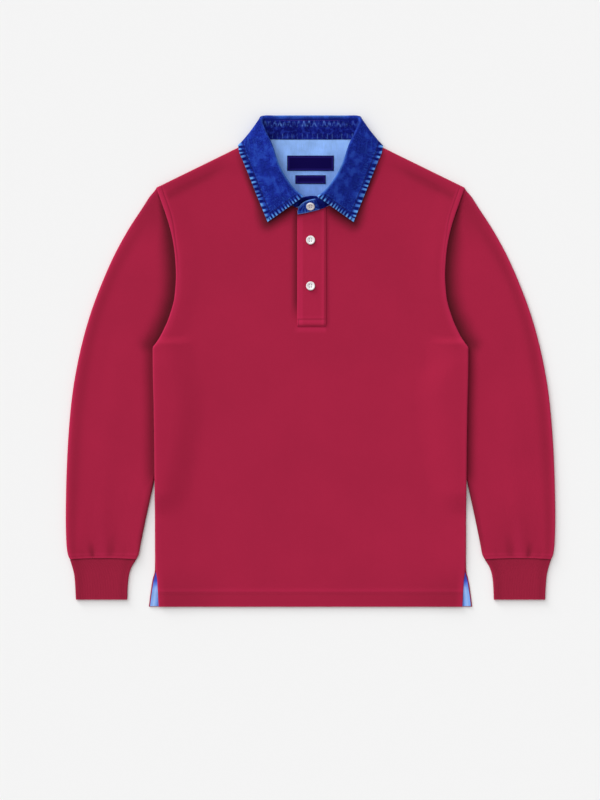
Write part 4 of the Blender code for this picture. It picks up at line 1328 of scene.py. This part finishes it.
def stitched_edge_puckers(tree, away, phase):
    """Puckers along a stitched edge: worn bars, dark gaps between them and fine paler streaks.

    away is the distance in from the edge in millimetres, and phase counts the puckers along it.
    """
    number = phase.maths("ROUND")
    chance, other = by_chance(number), by_chance(number + 71.3)
    ripple = (phase * (2 * math.pi)).maths("COSINE")
    past_reach = away - (chance * 3.6 + 2.4)
    bar = spread(ripple, -0.05, 0.75) * spread(past_reach, 0.0, 3.0, 1.0, 0.0)
    bar = bar * spread(other, 0.0, 1.0, 0.30, 1.10)
    gap = spread(ripple, 0.35, -0.45) * spread(away, 6.0, 11.0, 1.0, 0.0)
    fine = noise(joined(phase * 3.4, away * 0.15), detail=2.0)
    return bar, gap, spread(fine, 0.50, 0.68) * spread(away, 9.0, 24.0, 1.0, 0.0)


WASHED_TWILL = group(
    "washed_twill", {"Place": None, "Rib": 0.0012}, ("Height", "Weft", "Streak"), washed_twill
)
EDGE_PUCKERS = group(
    "stitched_edge_puckers", {"Away": 60.0, "Phase": 0.0}, ("Bar", "Gap", "Streak"), stitched_edge_puckers
)


def edge_wear(tree, shown, pale, worn):
    """The puckered, worn edge of a stitched double ply, from its away and phase marks."""
    away = mark(tree, "away")
    place = {"Away": away, "Phase": mark(tree, "phase")}
    bar, gap, streak = add(tree, "Group", place, node_tree=EDGE_PUCKERS)
    shown = mixed(streak * 0.58, shown, pale)
    shown = mixed(gap * 0.88, shown, NAVY_DENIM_DEEP)
    return mixed(bar, shown, mixed(spread(away, 1.5, 8.0, 1.0, 0.10), pale, worn))


def seam_wear(tree, shown, pale, worn):
    """The inner face of a stand: crossing puckers below its top seam, and short ones at its foot."""
    place, below, up, behind, lap = (mark(tree, name) for name in ("place", "below", "up", "behind", "lap"))
    drift = add(tree, "TexNoise", {"W": place * 0.11}, noise_dimensions="1D")[0]
    across = drift * 5.0 + place
    patches = noise(joined(place * 0.55, below * 0.22))
    blotches = noise(joined(place * 0.15, below * 0.17))
    shown = mixed(lap, shown, mixed(spread(patches, 0.44, 0.66), INDIGO_DEEP, INDIGO_PALE))
    chance = by_chance((across / STAND_PUCKER_PITCH).maths("ROUND"))
    from_peak = across.maths("PINGPONG", STAND_PUCKER_PITCH / 2)
    stroke = (from_peak - (below - 2.2) * 0.33).maths("ABSOLUTE")
    crossing = (
        spread(stroke, 1.15, 0.35) * spread(below, 9.5, 13.0, 1.0, 0.0) * spread(below, 1.4, 2.6)
        * spread(blotches, 0.40, 0.58, 0.15, 1.0) * behind * spread(chance, 0.05, 0.75, 0.15, 1.1)
    )
    short = (across + 2.7).maths("PINGPONG", STAND_PUCKER_PITCH / 2)
    foot = (
        spread(short, 1.10, 0.40) * spread(up, 5.6, 8.0, 1.0, 0.0) * spread(up, 0.4, 1.4)
        * spread(patches, 0.42, 0.60, 0.10, 1.0) * behind * spread(chance, 0.9, 0.1, 0.2, 0.9)
    )
    middle = spread(blotches, 0.50, 0.64, 0.0, 0.60) * spread(below, 1.6, 4.0) * behind
    shown = mixed(middle, shown, pale)
    shown = mixed(crossing.maths("MAXIMUM", foot) * 0.62, shown, worn)
    return mixed(spread(below, 2.0, 1.0) * behind * 0.5, shown, INDIGO)


def denim(name, colour, deep, pale, worn, wear):
    """Washed denim: mottled indigo with paler specks, and the wear that its seams give it."""
    finish, tree = blank(name)
    cut = {"Place": cloth_place(tree), "Rib": 0.0011}
    height, weft, streak = add(tree, "Group", cut, node_tree=WASHED_TWILL)
    slow, quick = add(tree, "Group", {"Slow size": 64.0, "Quick size": 260.0}, node_tree=UNEVEN_DYE)
    shown = mixed(spread(slow + quick * 0.55, -0.09, 0.10), deep, colour)
    shown = mixed(spread(slow, 0.03, 0.15, 0.0, 0.26), shown, pale)
    shown = mixed(spread(weft, 0.50, 0.74, 0.0, 0.58), shown, pale)
    shown = mixed(spread(streak, 0.56, 0.80, 0.0, 0.22), shown, pale)
    shown = wear(tree, shown, pale, worn)
    shown = mixed(mark(tree, "worn") * spread(weft, 0.25, 0.60, 0.55, 1.0), shown, worn)
    values = {
        "Base Color": mixed(mark(tree, "shade"), shown, INDIGO_SHADE), "Roughness": 0.9,
        "Specular IOR Level": 0.03, "Sheen Weight": 0.02, "Sheen Roughness": 0.5,
        "Sheen Tint": (0.35, 0.50, 1.0, 1.0),
    }
    return complete(finish, values, height, 0.00022, 0.6)


INDIGO = (0.0105, 0.0240, 0.345)
INDIGO_DEEP = (0.0055, 0.0105, 0.215)
INDIGO_PALE = (0.040, 0.140, 0.660)
INDIGO_WORN = (0.150, 0.430, 0.940)
INDIGO_SHADE = (0.0025, 0.0026, 0.060)
NAVY_DENIM = (0.0050, 0.0080, 0.195)
NAVY_DENIM_DEEP = (0.0032, 0.0034, 0.110)
NAVY_DENIM_PALE = (0.022, 0.050, 0.420)
NAVY_DENIM_WORN = (0.135, 0.300, 0.800)
STAND_PUCKER_PITCH = 8.0
STAND_FOOT_DROP = 2.2
BEHIND_NECK_Y = 352
LAP_LENGTH = 34
leaf_denim = denim("indigo_denim", INDIGO, INDIGO_DEEP, INDIGO_PALE, INDIGO_WORN, edge_wear)
stand_denim = denim(
    "dark_indigo_denim", NAVY_DENIM, NAVY_DENIM_DEEP, NAVY_DENIM_PALE, NAVY_DENIM_WORN, seam_wear
)
navy_thread = thread("navy_thread", (0.012, 0.006, 0.095), (0.040, 0.022, 0.210))
purple_thread = thread("purple_thread", (0.055, 0.012, 0.150), (0.110, 0.035, 0.260))


def table_points(table, field, numbers):
    """Points in space from a table's x, y and z columns."""
    return np.stack([read(table, f"{field}_{axis}", numbers) for axis in "xyz"], axis=1)


def collar_half():
    """The seam, stand top and leaf edge of half the collar, and the directions of its roll."""
    numbers = np.linspace(0, len(COLLAR) - 1, COLLAR_STEPS * (len(COLLAR) - 1) + 1)
    seam, top, edge = (table_points(COLLAR, field, numbers) for field in ("seam", "top", "edge"))
    up = unit(top - seam)
    outward = unit(np.cross(up, unit(np.gradient(top, axis=0))))
    return seam, top, edge, up, outward


def streaks(place, pitch, seed, sharp=0.35):
    """Uneven bars along a length, such as puckers at a row of stitches: 0 between them, 1 on them."""
    chance = np.random.default_rng(seed)
    last = int(np.max(place) / pitch) + 3
    centres = (np.arange(-1, last) + 0.22 * chance.standard_normal(last + 1)) * pitch
    tall = np.clip(0.72 + 0.30 * chance.standard_normal(last + 1), 0.15, 1.15)
    wide = pitch * sharp * np.clip(1 + 0.25 * chance.standard_normal(last + 1), 0.6, 1.5)
    total = np.zeros(np.shape(place))
    for centre, height, width in zip(centres, tall, wide):
        total = np.maximum(total, height * bump((place - centre) / width))
    return total


def stand():
    seam, top, _, _, _ = collar_half()

    def band_line(half, field):
        """One edge of the band: the lower end, the right half, the left half and the lapping end."""
        under, over = (
            table_points(table, field, np.linspace(0, len(table) - 1, STAND_END_STEPS * (len(table) - 1) + 1))
            for table in (STAND_UNDER, STAND_OVER)
        )
        share = np.linspace(0, 1, STAND_END_STEPS + 1)[1:-1, None]
        right = half[:0:-1] * np.array([-1, 1, 1])
        to_right = under[0] + (right[0] - under[0]) * share
        to_over = half[-1] + (over[0] - half[-1]) * share
        return np.concatenate([under[::-1], to_right, right, half, to_over, over])

    seams, tops = band_line(seam, "seam"), band_line(top, "top")
    share = np.linspace(0, 1, STAND_COLUMNS)[None, :, None]
    points = seams[:, None] + (tops - seams)[:, None] * share
    along_it = lengths_along(seams)
    height = np.linalg.norm(tops - seams, axis=1)[:, None]
    share = share[..., 0]
    up_it = share * height
    place = np.broadcast_to(along_it[:, None], up_it.shape)
    behind = (points[..., 1] > BEHIND_NECK_Y).astype(float)
    below_top = height - up_it
    top_bars = streaks(place, STAND_PUCKER_PITCH, 11) * bump((below_top - 6.5) / 3.4)
    low_bars = streaks(place, STAND_PUCKER_PITCH, 13, 0.28) * bump((up_it - 3.6) / 1.7)
    from_end = along_it[-1] - place
    lap = fall((from_end - LAP_LENGTH) / 4)
    rim = np.minimum(np.minimum(from_end, below_top), up_it)
    worn = lap * fall((rim - 0.2) / 1.4)
    worn = np.maximum(worn, lap * 0.38 * streaks(place, 4.2, 14, 0.28) * fall((rim - 1) / 4))
    points[..., 2] += behind * (0.30 * top_bars + 0.25 * low_bars - 0.20 * bump((below_top - 1.6) / 0.9))
    points[..., 1] -= STAND_FOOT_DROP * behind * fall(up_it / 8)
    shade = behind * 0.45 * fall(up_it / 1.2)
    shade = (shade + (1 - behind) * 0.15) * (1 - lap)
    return cloth(
        "neck_stand", points, DENIM, rounded=0.5, worn=np.clip(worn, 0, 1), shade=np.clip(shade, 0, 1),
        place=place, below=below_top, up=up_it, behind=behind, lap=lap,
    )


band = dress(stand(), "collar_stand", "indigo_denim", stand_denim)


def stand_back_surface(x, y):
    """The upper face of the stand where it lies flat behind the neck."""
    share = (y - COLLAR[0].seam_y) / (COLLAR[0].top_y - COLLAR[0].seam_y)
    return COLLAR[0].seam_z + (COLLAR[0].top_z - COLLAR[0].seam_z) * share + DENIM / 2 - 0.05


stand_lines = [[(-58, 384.2), (58, 384.2)], [(-62, 357.6), (62, 357.6)]]
stand_stitching = stitches(
    "stand_stitching", stand_lines, stand_back_surface, purple_thread, "indigo_denim",
    pitch=3.3, length=2.5, thick=0.5, seed=9,
)

# The collar leaf.
# Two plies of the same denim, sewn to the top of the stand, folded over it and edge-stitched 9 mm
# in. Washing has puckered the edge and worn the puckers and points pale.
LEAF_RISE = 3.2
ROLL_RADIUS = 2.3
LEAF_ROLL_STEPS = 12
LEAF_FALL_STEPS = 36
EDGE_STITCH_INSET = 9.0
PUCKER_PITCH = 8.2
FRONT_PUCKER_PITCH = 5.6


def leaf_surface():
    """Rows of the leaf's middle surface along the half collar, and its outward normals."""
    seam, top, edge, up, outward = collar_half()
    columns = [top + up * (SEAM_GAP + 0.5), top + up * LEAF_RISE]
    centre = top + up * LEAF_RISE + outward * ROLL_RADIUS
    for turn in np.linspace(0, math.pi, LEAF_ROLL_STEPS + 1)[1:]:
        columns.append(centre + ROLL_RADIUS * (math.sin(turn) * up - math.cos(turn) * outward))
    start = columns[-1]
    towards = start + (edge - start) * 0.36
    arrive = edge + (towards - edge) * np.array([0.45, 0.45, 0.08])
    for share in 1 - (1 - np.linspace(0, 1, LEAF_FALL_STEPS + 1)[1:]) ** 1.25:
        columns.append(
            start * (1 - share) ** 3
            + 3 * towards * share * (1 - share) ** 2
            + 3 * arrive * share**2 * (1 - share)
            + edge * share**3
        )
    half = np.stack(columns, axis=1)
    normal = unit(np.cross(np.gradient(half, axis=1), np.gradient(half, axis=0)))
    return half, normal * np.sign(normal[-1, -4, 2])


def leaf_edges(half):
    """For each point of the half leaf: how far in from its cut edge it is, and the puckers' count."""
    edge_away, edge_place = away_from(half[:, -1], *np.moveaxis(half, -1, 0))
    steps = np.linalg.norm(np.diff(half, axis=1, append=half[:, -1:]), axis=2)
    down_row = steps[:, ::-1].cumsum(axis=1)[:, ::-1]
    edge_away = np.maximum(edge_away, 0.6 * down_row)
    front_away, front_place = away_from(half[-1, ::-1], *np.moveaxis(half, -1, 0))
    return edge_away, edge_place, front_away, front_place


def leaf():
    half, normal = leaf_surface()
    edge_away, edge_place, front_away, front_place = leaf_edges(half)
    fallen = np.arange(half.shape[1]) >= LEAF_ROLL_STEPS + 2
    face_up = ease(normal[..., 2] / 0.4)
    away = np.minimum(edge_away, front_away)
    tip = np.linalg.norm(half - half[-1, -1], axis=2)
    rolled = bump((np.arange(half.shape[1])[None, :] - LEAF_ROLL_STEPS * 0.5) / 3.2)
    both = []
    for side, turn in ((-1, 0.0), (1, 1.9)):
        wobble = 0.24 * np.sin(edge_place / 10.5 + turn) + 0.13 * np.sin(edge_place / 4.1 + 2 * turn)
        down_edge = edge_place / PUCKER_PITCH + wobble - 0.02 * edge_away
        up_front = front_place / FRONT_PUCKER_PITCH + 0.22 * np.sin(front_place / 7.5 + turn) + 0.5
        phase = np.where(edge_away <= front_away, down_edge, up_front) + (10 + side * 40)
        ripple = 0.5 + 0.5 * np.cos(2 * math.pi * phase)
        bars = ripple**1.3 * fall((away - 3) / 5)
        stitch_line = bump((away - EDGE_STITCH_INSET) / 0.9)
        zone = fall((away - 7.5) / 2)
        worn = np.maximum(0.22 * fall(away / 0.9), 1.0 * fall((tip - 1.5) / 6.0))
        worn = np.maximum(worn, (0.08 + 0.42 * fall((np.abs(half[:, :1, 0]) - 52) / 14)) * rolled)
        shade = 0.75 * stitch_line * fallen
        rise = (0.42 * bars + 0.20 * zone - 0.35 * stitch_line) * fallen * face_up
        points = (half + normal * rise[..., None]) * np.array([side, 1, 1])
        both.append((points, away, phase, worn, shade))
    left, right = both
    points, away, phase, worn, shade = (np.concatenate([a[:0:-1], b]) for a, b in zip(left, right))
    return cloth(
        "collar_leaf_cloth", points, DENIM, rounded=0.55,
        away=away, phase=phase, worn=np.clip(worn, 0, 1), shade=np.clip(shade, 0, 0.9),
    )


collar = dress(leaf(), "collar_leaf", "indigo_denim", leaf_denim)


def leaf_stitch_line():
    """The edge stitching of one half: points on the leaf 9 mm inside its outer and front edges."""
    half, _ = leaf_surface()
    away, _, front_away, _ = leaf_edges(half)
    line = []
    for row in range(half.shape[0]):
        if half[row, -1, 2] < 4 or front_away[row, -1] < EDGE_STITCH_INSET:
            continue
        line.append([np.interp(-EDGE_STITCH_INSET, -away[row, -20:], half[row, -20:, k]) for k in range(3)])
    for place in range(half.shape[1] - 8, LEAF_ROLL_STEPS + 6, -1):
        near = front_away[:, place][::-1]
        if away[-1, place] < EDGE_STITCH_INSET:
            continue
        line.append([np.interp(EDGE_STITCH_INSET, near[:60], half[::-1, place, k][:60]) for k in range(3)])
    return np.array(line)


stitch_line = leaf_stitch_line()


def leaf_stitch_surface(x, y):
    """Height of the leaf's upper face near its stitch line."""
    nearest = np.argsort(np.hypot(stitch_line[:, 0] - abs(x), stitch_line[:, 1] - y))[:2]
    return stitch_line[nearest, 2].mean() + DENIM / 2 - 0.12


leaf_lines = [stitch_line[:, :2] * np.array([side, 1]) for side in (-1, 1)]
leaf_stitching = stitches(
    "leaf_stitching", leaf_lines, leaf_stitch_surface, navy_thread, "indigo_denim",
    pitch=3.3, length=2.5, thick=0.55, seed=15,
)

# The lining of the back neck.
# A half-moon of light-blue chambray, sewn inside the back below the stand to cover its seam, and
# stitched round its curved edge.
CHAMBRAY = 1.0
LINING_GAP = 0.7
LINING_HALF_WIDTH = 88.0
LINING_CENTRE_Y = 318.0
LINING_HALF_HEIGHT = 106.0
LINING_TOP_Y = 354.6


def chambray(name, pale, deep, low_y, high_y):
    """Plain weave of blue warp and white weft, softly clouded, its colour graded between low_y and high_y as
    painted shade, with the painted highlight and painted shade of its rim and shade marks.
    """
    finish, tree = blank(name)
    place = cloth_place(tree)
    across, down, _ = xyz(place)
    weave = wave(across, 0.0007) * wave(down, 0.0007)
    slow, _ = add(tree, "Group", {"Slow size": 42.0, "Quick size": 900.0}, node_tree=UNEVEN_DYE)
    streak = noise(stretched(place, 1200.0, 60.0), detail=2.0)
    shown = mixed(spread(xyz(object_place(tree))[1], low_y * MM, high_y * MM), deep, pale)
    shown = lit(lit(lit(shown, slow * 0.80), (streak - 0.5) * 0.42), weave * 0.07)
    shown = mixed(mark(tree, "rim"), shown, SKY_PAINTED_HIGHLIGHT)
    shown = mixed(mark(tree, "shade"), shown, SKY_SHADE)
    values = {"Base Color": shown, "Roughness": 0.85, "Specular IOR Level": 0.15}
    return complete(finish, values, weave, 0.00012, 0.5)


# The lining's colour at its top, its colour in painted shade low in the neck, and the colours of its painted
# highlight and painted shade.
SKY_PALE = (0.285, 0.495, 0.960)
SKY_PAINTED_SHADE_LOW = (0.180, 0.335, 0.800)
SKY_PAINTED_HIGHLIGHT = (0.55, 0.70, 0.98)
SKY_SHADE = (0.045, 0.060, 0.42)
lining_cloth = chambray("sky_chambray", SKY_PALE, SKY_PAINTED_SHADE_LOW, 270, 352)


def lining_surface(x, y):
    """The face of the lining that shows through the neck."""
    return back_top(x, y) + LINING_GAP + CHAMBRAY


def lining():
    top_angle = math.asin((LINING_TOP_Y - LINING_CENTRE_Y) / LINING_HALF_HEIGHT)
    angles = np.linspace(math.radians(-80), top_angle, 64)
    ys = LINING_CENTRE_Y + LINING_HALF_HEIGHT * np.sin(angles)
    half = LINING_HALF_WIDTH * np.cos(angles)
    points = patch_points(-half, half, ys, 64, lambda x, y: lining_surface(x, y) - CHAMBRAY / 2)
    x, y = points[..., 0], points[..., 1]
    points[..., 2] += 0.22 * (np.sin(x / 13.0 + 0.6) * np.sin(y / 17.0) + 1) * ease((LINING_TOP_Y - y) / 20)
    return cloth("neck_lining_cloth", points, CHAMBRAY, rounded=0.3, rim=0.0, shade=0.0)


half_moon = dress(lining(), "neck_lining", "sky_chambray", lining_cloth)

# The labels.
# Two woven satin labels, bare but for a woven border, with their ends folded under and sewn to
# the lining all round.
LABEL = 0.8
Patch = namedtuple("Patch", "name y width height")
LABELS = [Patch("label_main", 316.6, 74.6, 24.2), Patch("label_small", 290.7, 48.6, 13.8)]
LABEL_GAP = SEAM_GAP + 0.2
LABEL_STITCH_INSET = 1.3
LABEL_BORDER_INSET = 2.6
SATIN_NAVY = (0.0036, 0.0009, 0.056)
SATIN_LIGHT = (0.0075, 0.0025, 0.100)
SATIN_BORDER = (0.022, 0.014, 0.190)


def label_weave():
    """Navy satin with fine cross ribs, and a border line woven in a little lighter."""
    finish, tree = blank("navy_label")
    across, down, _ = xyz(cloth_place(tree))
    weave = wave(across, 0.0009) * 0.5 + wave(down, 0.0005)
    shown = mixed(spread(weave, -1.2, 1.2, 0.0, 0.30), SATIN_NAVY, SATIN_LIGHT)
    shown = mixed(mark(tree, "rim"), shown, SATIN_BORDER)
    values = {"Base Color": shown, "Roughness": 0.6, "Specular IOR Level": 0.03}
    return complete(finish, values, weave, strength=0.4)


satin = label_weave()
for patch in LABELS:
    half = np.full(30, patch.width / 2)
    ys = patch.y + np.linspace(-0.5, 0.5, len(half)) * patch.height
    points = patch_points(-half, half, ys, 60, lambda x, y: lining_surface(x, y) + LABEL_GAP + LABEL / 2)
    x, y = points[..., 0], points[..., 1]
    ends = np.minimum(patch.width / 2 - np.abs(x), patch.height / 2 - np.abs(y - patch.y))
    points[..., 2] += 0.20 * np.sin(x / 9.0) * ease(ends / 6)
    points[..., 2] -= 0.18 * bump((ends - LABEL_STITCH_INSET) / 0.7)
    border = 0.8 * bump((ends - LABEL_BORDER_INSET) / 0.6)
    woven = cloth(patch.name + "_woven", points, LABEL, rounded=0.25, rim=border)
    dress(woven, patch.name, "navy_label", satin)
    side, rise = (size / 2 - LABEL_STITCH_INSET for size in (patch.width, patch.height))
    corners = ((-side, -rise), (side, -rise), (side, rise), (-side, rise), (-side, -rise))
    sewn = stitches(
        patch.name + "_stitching", [[(x, patch.y + y) for x, y in corners]],
        lambda x, y: lining_surface(x, y) + LABEL_GAP + LABEL, navy_thread, "navy_label",
        pitch=2.2, length=1.7, thick=0.34, seed=31,
    )
    patch.width * MM
    patch.height * MM

# The vent tapes.
# Light-blue chambray tape that faces the inside of the back along each side vent, sewn down one
# edge and narrowing at its top, to the end of the vent.
TAPE_INSET = 2.5
TAPE_WIDTH = 14.0
TAPE_TOP_Y = -337.0
TAPE_FULL_Y = -347.0
# The tape's colour in painted shadow near its top, where the front's edge lies over it, and its colour lower
# down.
TAPE_PAINTED_SHADOW = (0.060, 0.110, 0.640)
TAPE_LIGHT = (0.215, 0.400, 0.870)
tape_cloth = chambray("vent_chambray", TAPE_PAINTED_SHADOW, TAPE_LIGHT, -366, -350)


def vent_tape(name, side):
    flared = [s for s in SECTIONS if s.name in VENT_FLARE]
    flare_y, flare = column(flared, "edge_y"), [VENT_FLARE[s.name] for s in flared]
    ys = np.linspace(HEM_Y + 0.8, TAPE_TOP_Y, 40)
    outer = edge_x(ys) + np.interp(ys, flare_y, flare) - TAPE_INSET
    inner = np.where(ys > TAPE_FULL_Y, np.minimum(edge_x(ys) - 1.2, outer - 0.6), outer - TAPE_WIDTH)
    points = patch_points(inner, outer, ys, 16, lambda x, y: back_top(x, y) + SEAM_GAP + CHAMBRAY / 2)
    x, y = points[..., 0], points[..., 1]
    in_from_edge = outer[:, None] - x
    points[..., 2] += 0.22 * bump((in_from_edge - 6.5) / 2.6)
    # The shade mark paints the front's shadow over the tape's top and its inner part, plus a dark line along
    # its outer edge; the rim mark paints a highlight along its raised ridge.
    shade = 0.85 * ease((y + 356) / 12) + 0.60 * ease((in_from_edge - 9.0) / 3)
    shade += 0.5 * fall(in_from_edge / 0.8)
    rim = 0.35 * bump((in_from_edge - 5.6) / 1.9) * ease((-356 - y) / 6)
    points = points * np.array([side, 1, 1])
    return cloth(name, points, CHAMBRAY, rounded=0.3, rim=rim, shade=np.clip(shade, 0, 0.9))


for name, side in SIDES:
    tape = dress(vent_tape(f"{name}_vent_tape", side), f"vent_tape_{name}", "sky_chambray", tape_cloth)

# The buttons.
# Four-hole shirt buttons of white shell, turned with a raised rim and a dished face, and sewn on
# through their holes: two on the placket and one on the lapping end of the stand.
BUTTON_RADIUS = 7.1
HOLE_RADIUS = 0.8
HOLE_SPACING = 1.75
STAND_BUTTON_SHARE = 0.56
STAND_BUTTON_X = 2.3
STAND_BUTTON_LEAN = math.radians(5)
STAND_BUTTON_CLEAR = 1.0
STAND_BUTTON_SIZE = 0.95
BUTTON_BLANK_HEIGHT = 1.4
BUTTON_MIDDLE = 1.5
SHELL_GREY = (0.72, 0.69, 0.71)
SHELL_WHITE = (0.87, 0.85, 0.86)

# Each step insets a button's face and moves it out or in: out onto the rim, then into the dish.
FACE_STEPS = ((0.5, 0.75), (0.9, 0.15), (1.0, -0.25), (1.0, -0.75), (0.5, -0.10))
BACK_STEPS = ((1.2, 0.55), (1.6, 0.25))
HOLES = [(across * HOLE_SPACING, up * HOLE_SPACING) for across in (-1, 1) for up in (-1, 1)]


def shell_finish():
    """Polished shell: near white, with a faint slow cloud of warm and cool grey."""
    finish, tree = blank("white_button")
    cloud = noise(object_place(tree), 260.0, distortion=1.2)
    return complete(finish, {
        "Base Color": mixed(spread(cloud, 0.35, 0.65), SHELL_GREY, SHELL_WHITE),
        "Roughness": spread(cloud, 0.3, 0.7, 0.22, 0.34), "Coat Weight": 0.3, "Coat Roughness": 0.15,
    })


shell = shell_finish()
button_thread = thread("button_thread", (0.20, 0.045, 0.110), (0.38, 0.140, 0.230))


def cylinder(sides, radius, depth, x=0.0, y=0.0):
    bpy.ops.mesh.primitive_cylinder_add(
        vertices=sides, radius=radius * MM, depth=depth * MM, location=(x * MM, y * MM, BUTTON_MIDDLE * MM)
    )
    return bpy.context.object


def turned_button():
    """A button at the origin: a disc whose face is dished inside a raised rim, with four holes."""
    bpy.ops.object.select_all(action="DESELECT")
    disc = cylinder(48, BUTTON_RADIUS, BUTTON_BLANK_HEIGHT)
    bpy.ops.object.transform_apply(location=True)
    bpy.ops.object.mode_set(mode="EDIT")
    bpy.ops.mesh.select_mode(type="FACE")
    for facing, steps in ((1, FACE_STEPS), (-1, BACK_STEPS)):
        bpy.ops.object.mode_set(mode="OBJECT")
        for polygon in disc.data.polygons:
            polygon.select = polygon.normal.z * facing > 0.9
        bpy.ops.object.mode_set(mode="EDIT")
        for inset, rise in steps:
            bpy.ops.mesh.inset(thickness=inset * MM)
            bpy.ops.transform.translate(value=(0, 0, facing * rise * MM))
    bpy.ops.object.mode_set(mode="OBJECT")
    drills = [cylinder(16, HOLE_RADIUS, 8, x, y) for x, y in HOLES]
    select_only(disc)
    for drill in drills:
        shape_with(disc, "BOOLEAN", object=drill, operation="DIFFERENCE")
        bpy.data.objects.remove(drill)
    shape_with(disc, "BEVEL", width=0.22 * MM, segments=2, angle_limit=math.radians(28))
    bpy.ops.object.shade_smooth_by_angle(angle=math.radians(40))
    return disc


def sewing_thread():
    """The thread of a button at the origin: two turns sunk into each of its four holes."""
    shape = STITCH_POINTS * np.array([0.80, 1.45, 0.9])
    return beads("button_sewing_thread", [
        shape + np.array([x + turn * 0.33, y, 1.55]) for x, y in HOLES for turn in (-1, 1)
    ])


def stand_button_place():
    """Centre and tilt of the button on the lapping end of the stand."""
    row = STAND_OVER[1]
    seam = np.array([row.seam_x, row.seam_y, row.seam_z])
    top = np.array([row.top_x, row.top_y, row.top_z])
    up = unit(top - seam)
    lean = math.atan2(up[2], up[1]) + STAND_BUTTON_LEAN
    outward = np.array([0.0, -math.sin(lean), math.cos(lean)])
    middle = seam + (top - seam) * STAND_BUTTON_SHARE + np.array([STAND_BUTTON_X, 0, 0])
    return middle + outward * (DENIM / 2 + STAND_BUTTON_CLEAR), lean


pattern_button = turned_button()
pattern_thread = sewing_thread()
button_places = [("button_1", *stand_button_place())]
for number, y in enumerate(PLACKET_BUTTONS_Y, start=2):
    button_places.append((f"button_{number}", (0.0, y, float(placket_surface(0, y)) + SEAM_GAP), 0.0))
for name, centre, lean in button_places:
    for pattern, new_name, node, slot, finish in (
        (pattern_button, name + "_shell", name, "white_button", shell),
        (pattern_thread, name + "_thread", None, "white_button", button_thread),
    ):
        copy = placed(new_name, pattern.data.copy())
        select_only(copy)
        copy.rotation_euler = (lean, 0, 0)
        copy.scale = [STAND_BUTTON_SIZE if lean else 1.0] * 3
        copy.location = [value * MM for value in centre]
        bpy.ops.object.transform_apply(location=True, rotation=True, scale=True)
        dress(copy, node, slot, finish)
for pattern in (pattern_button, pattern_thread):
    bpy.data.objects.remove(pattern)
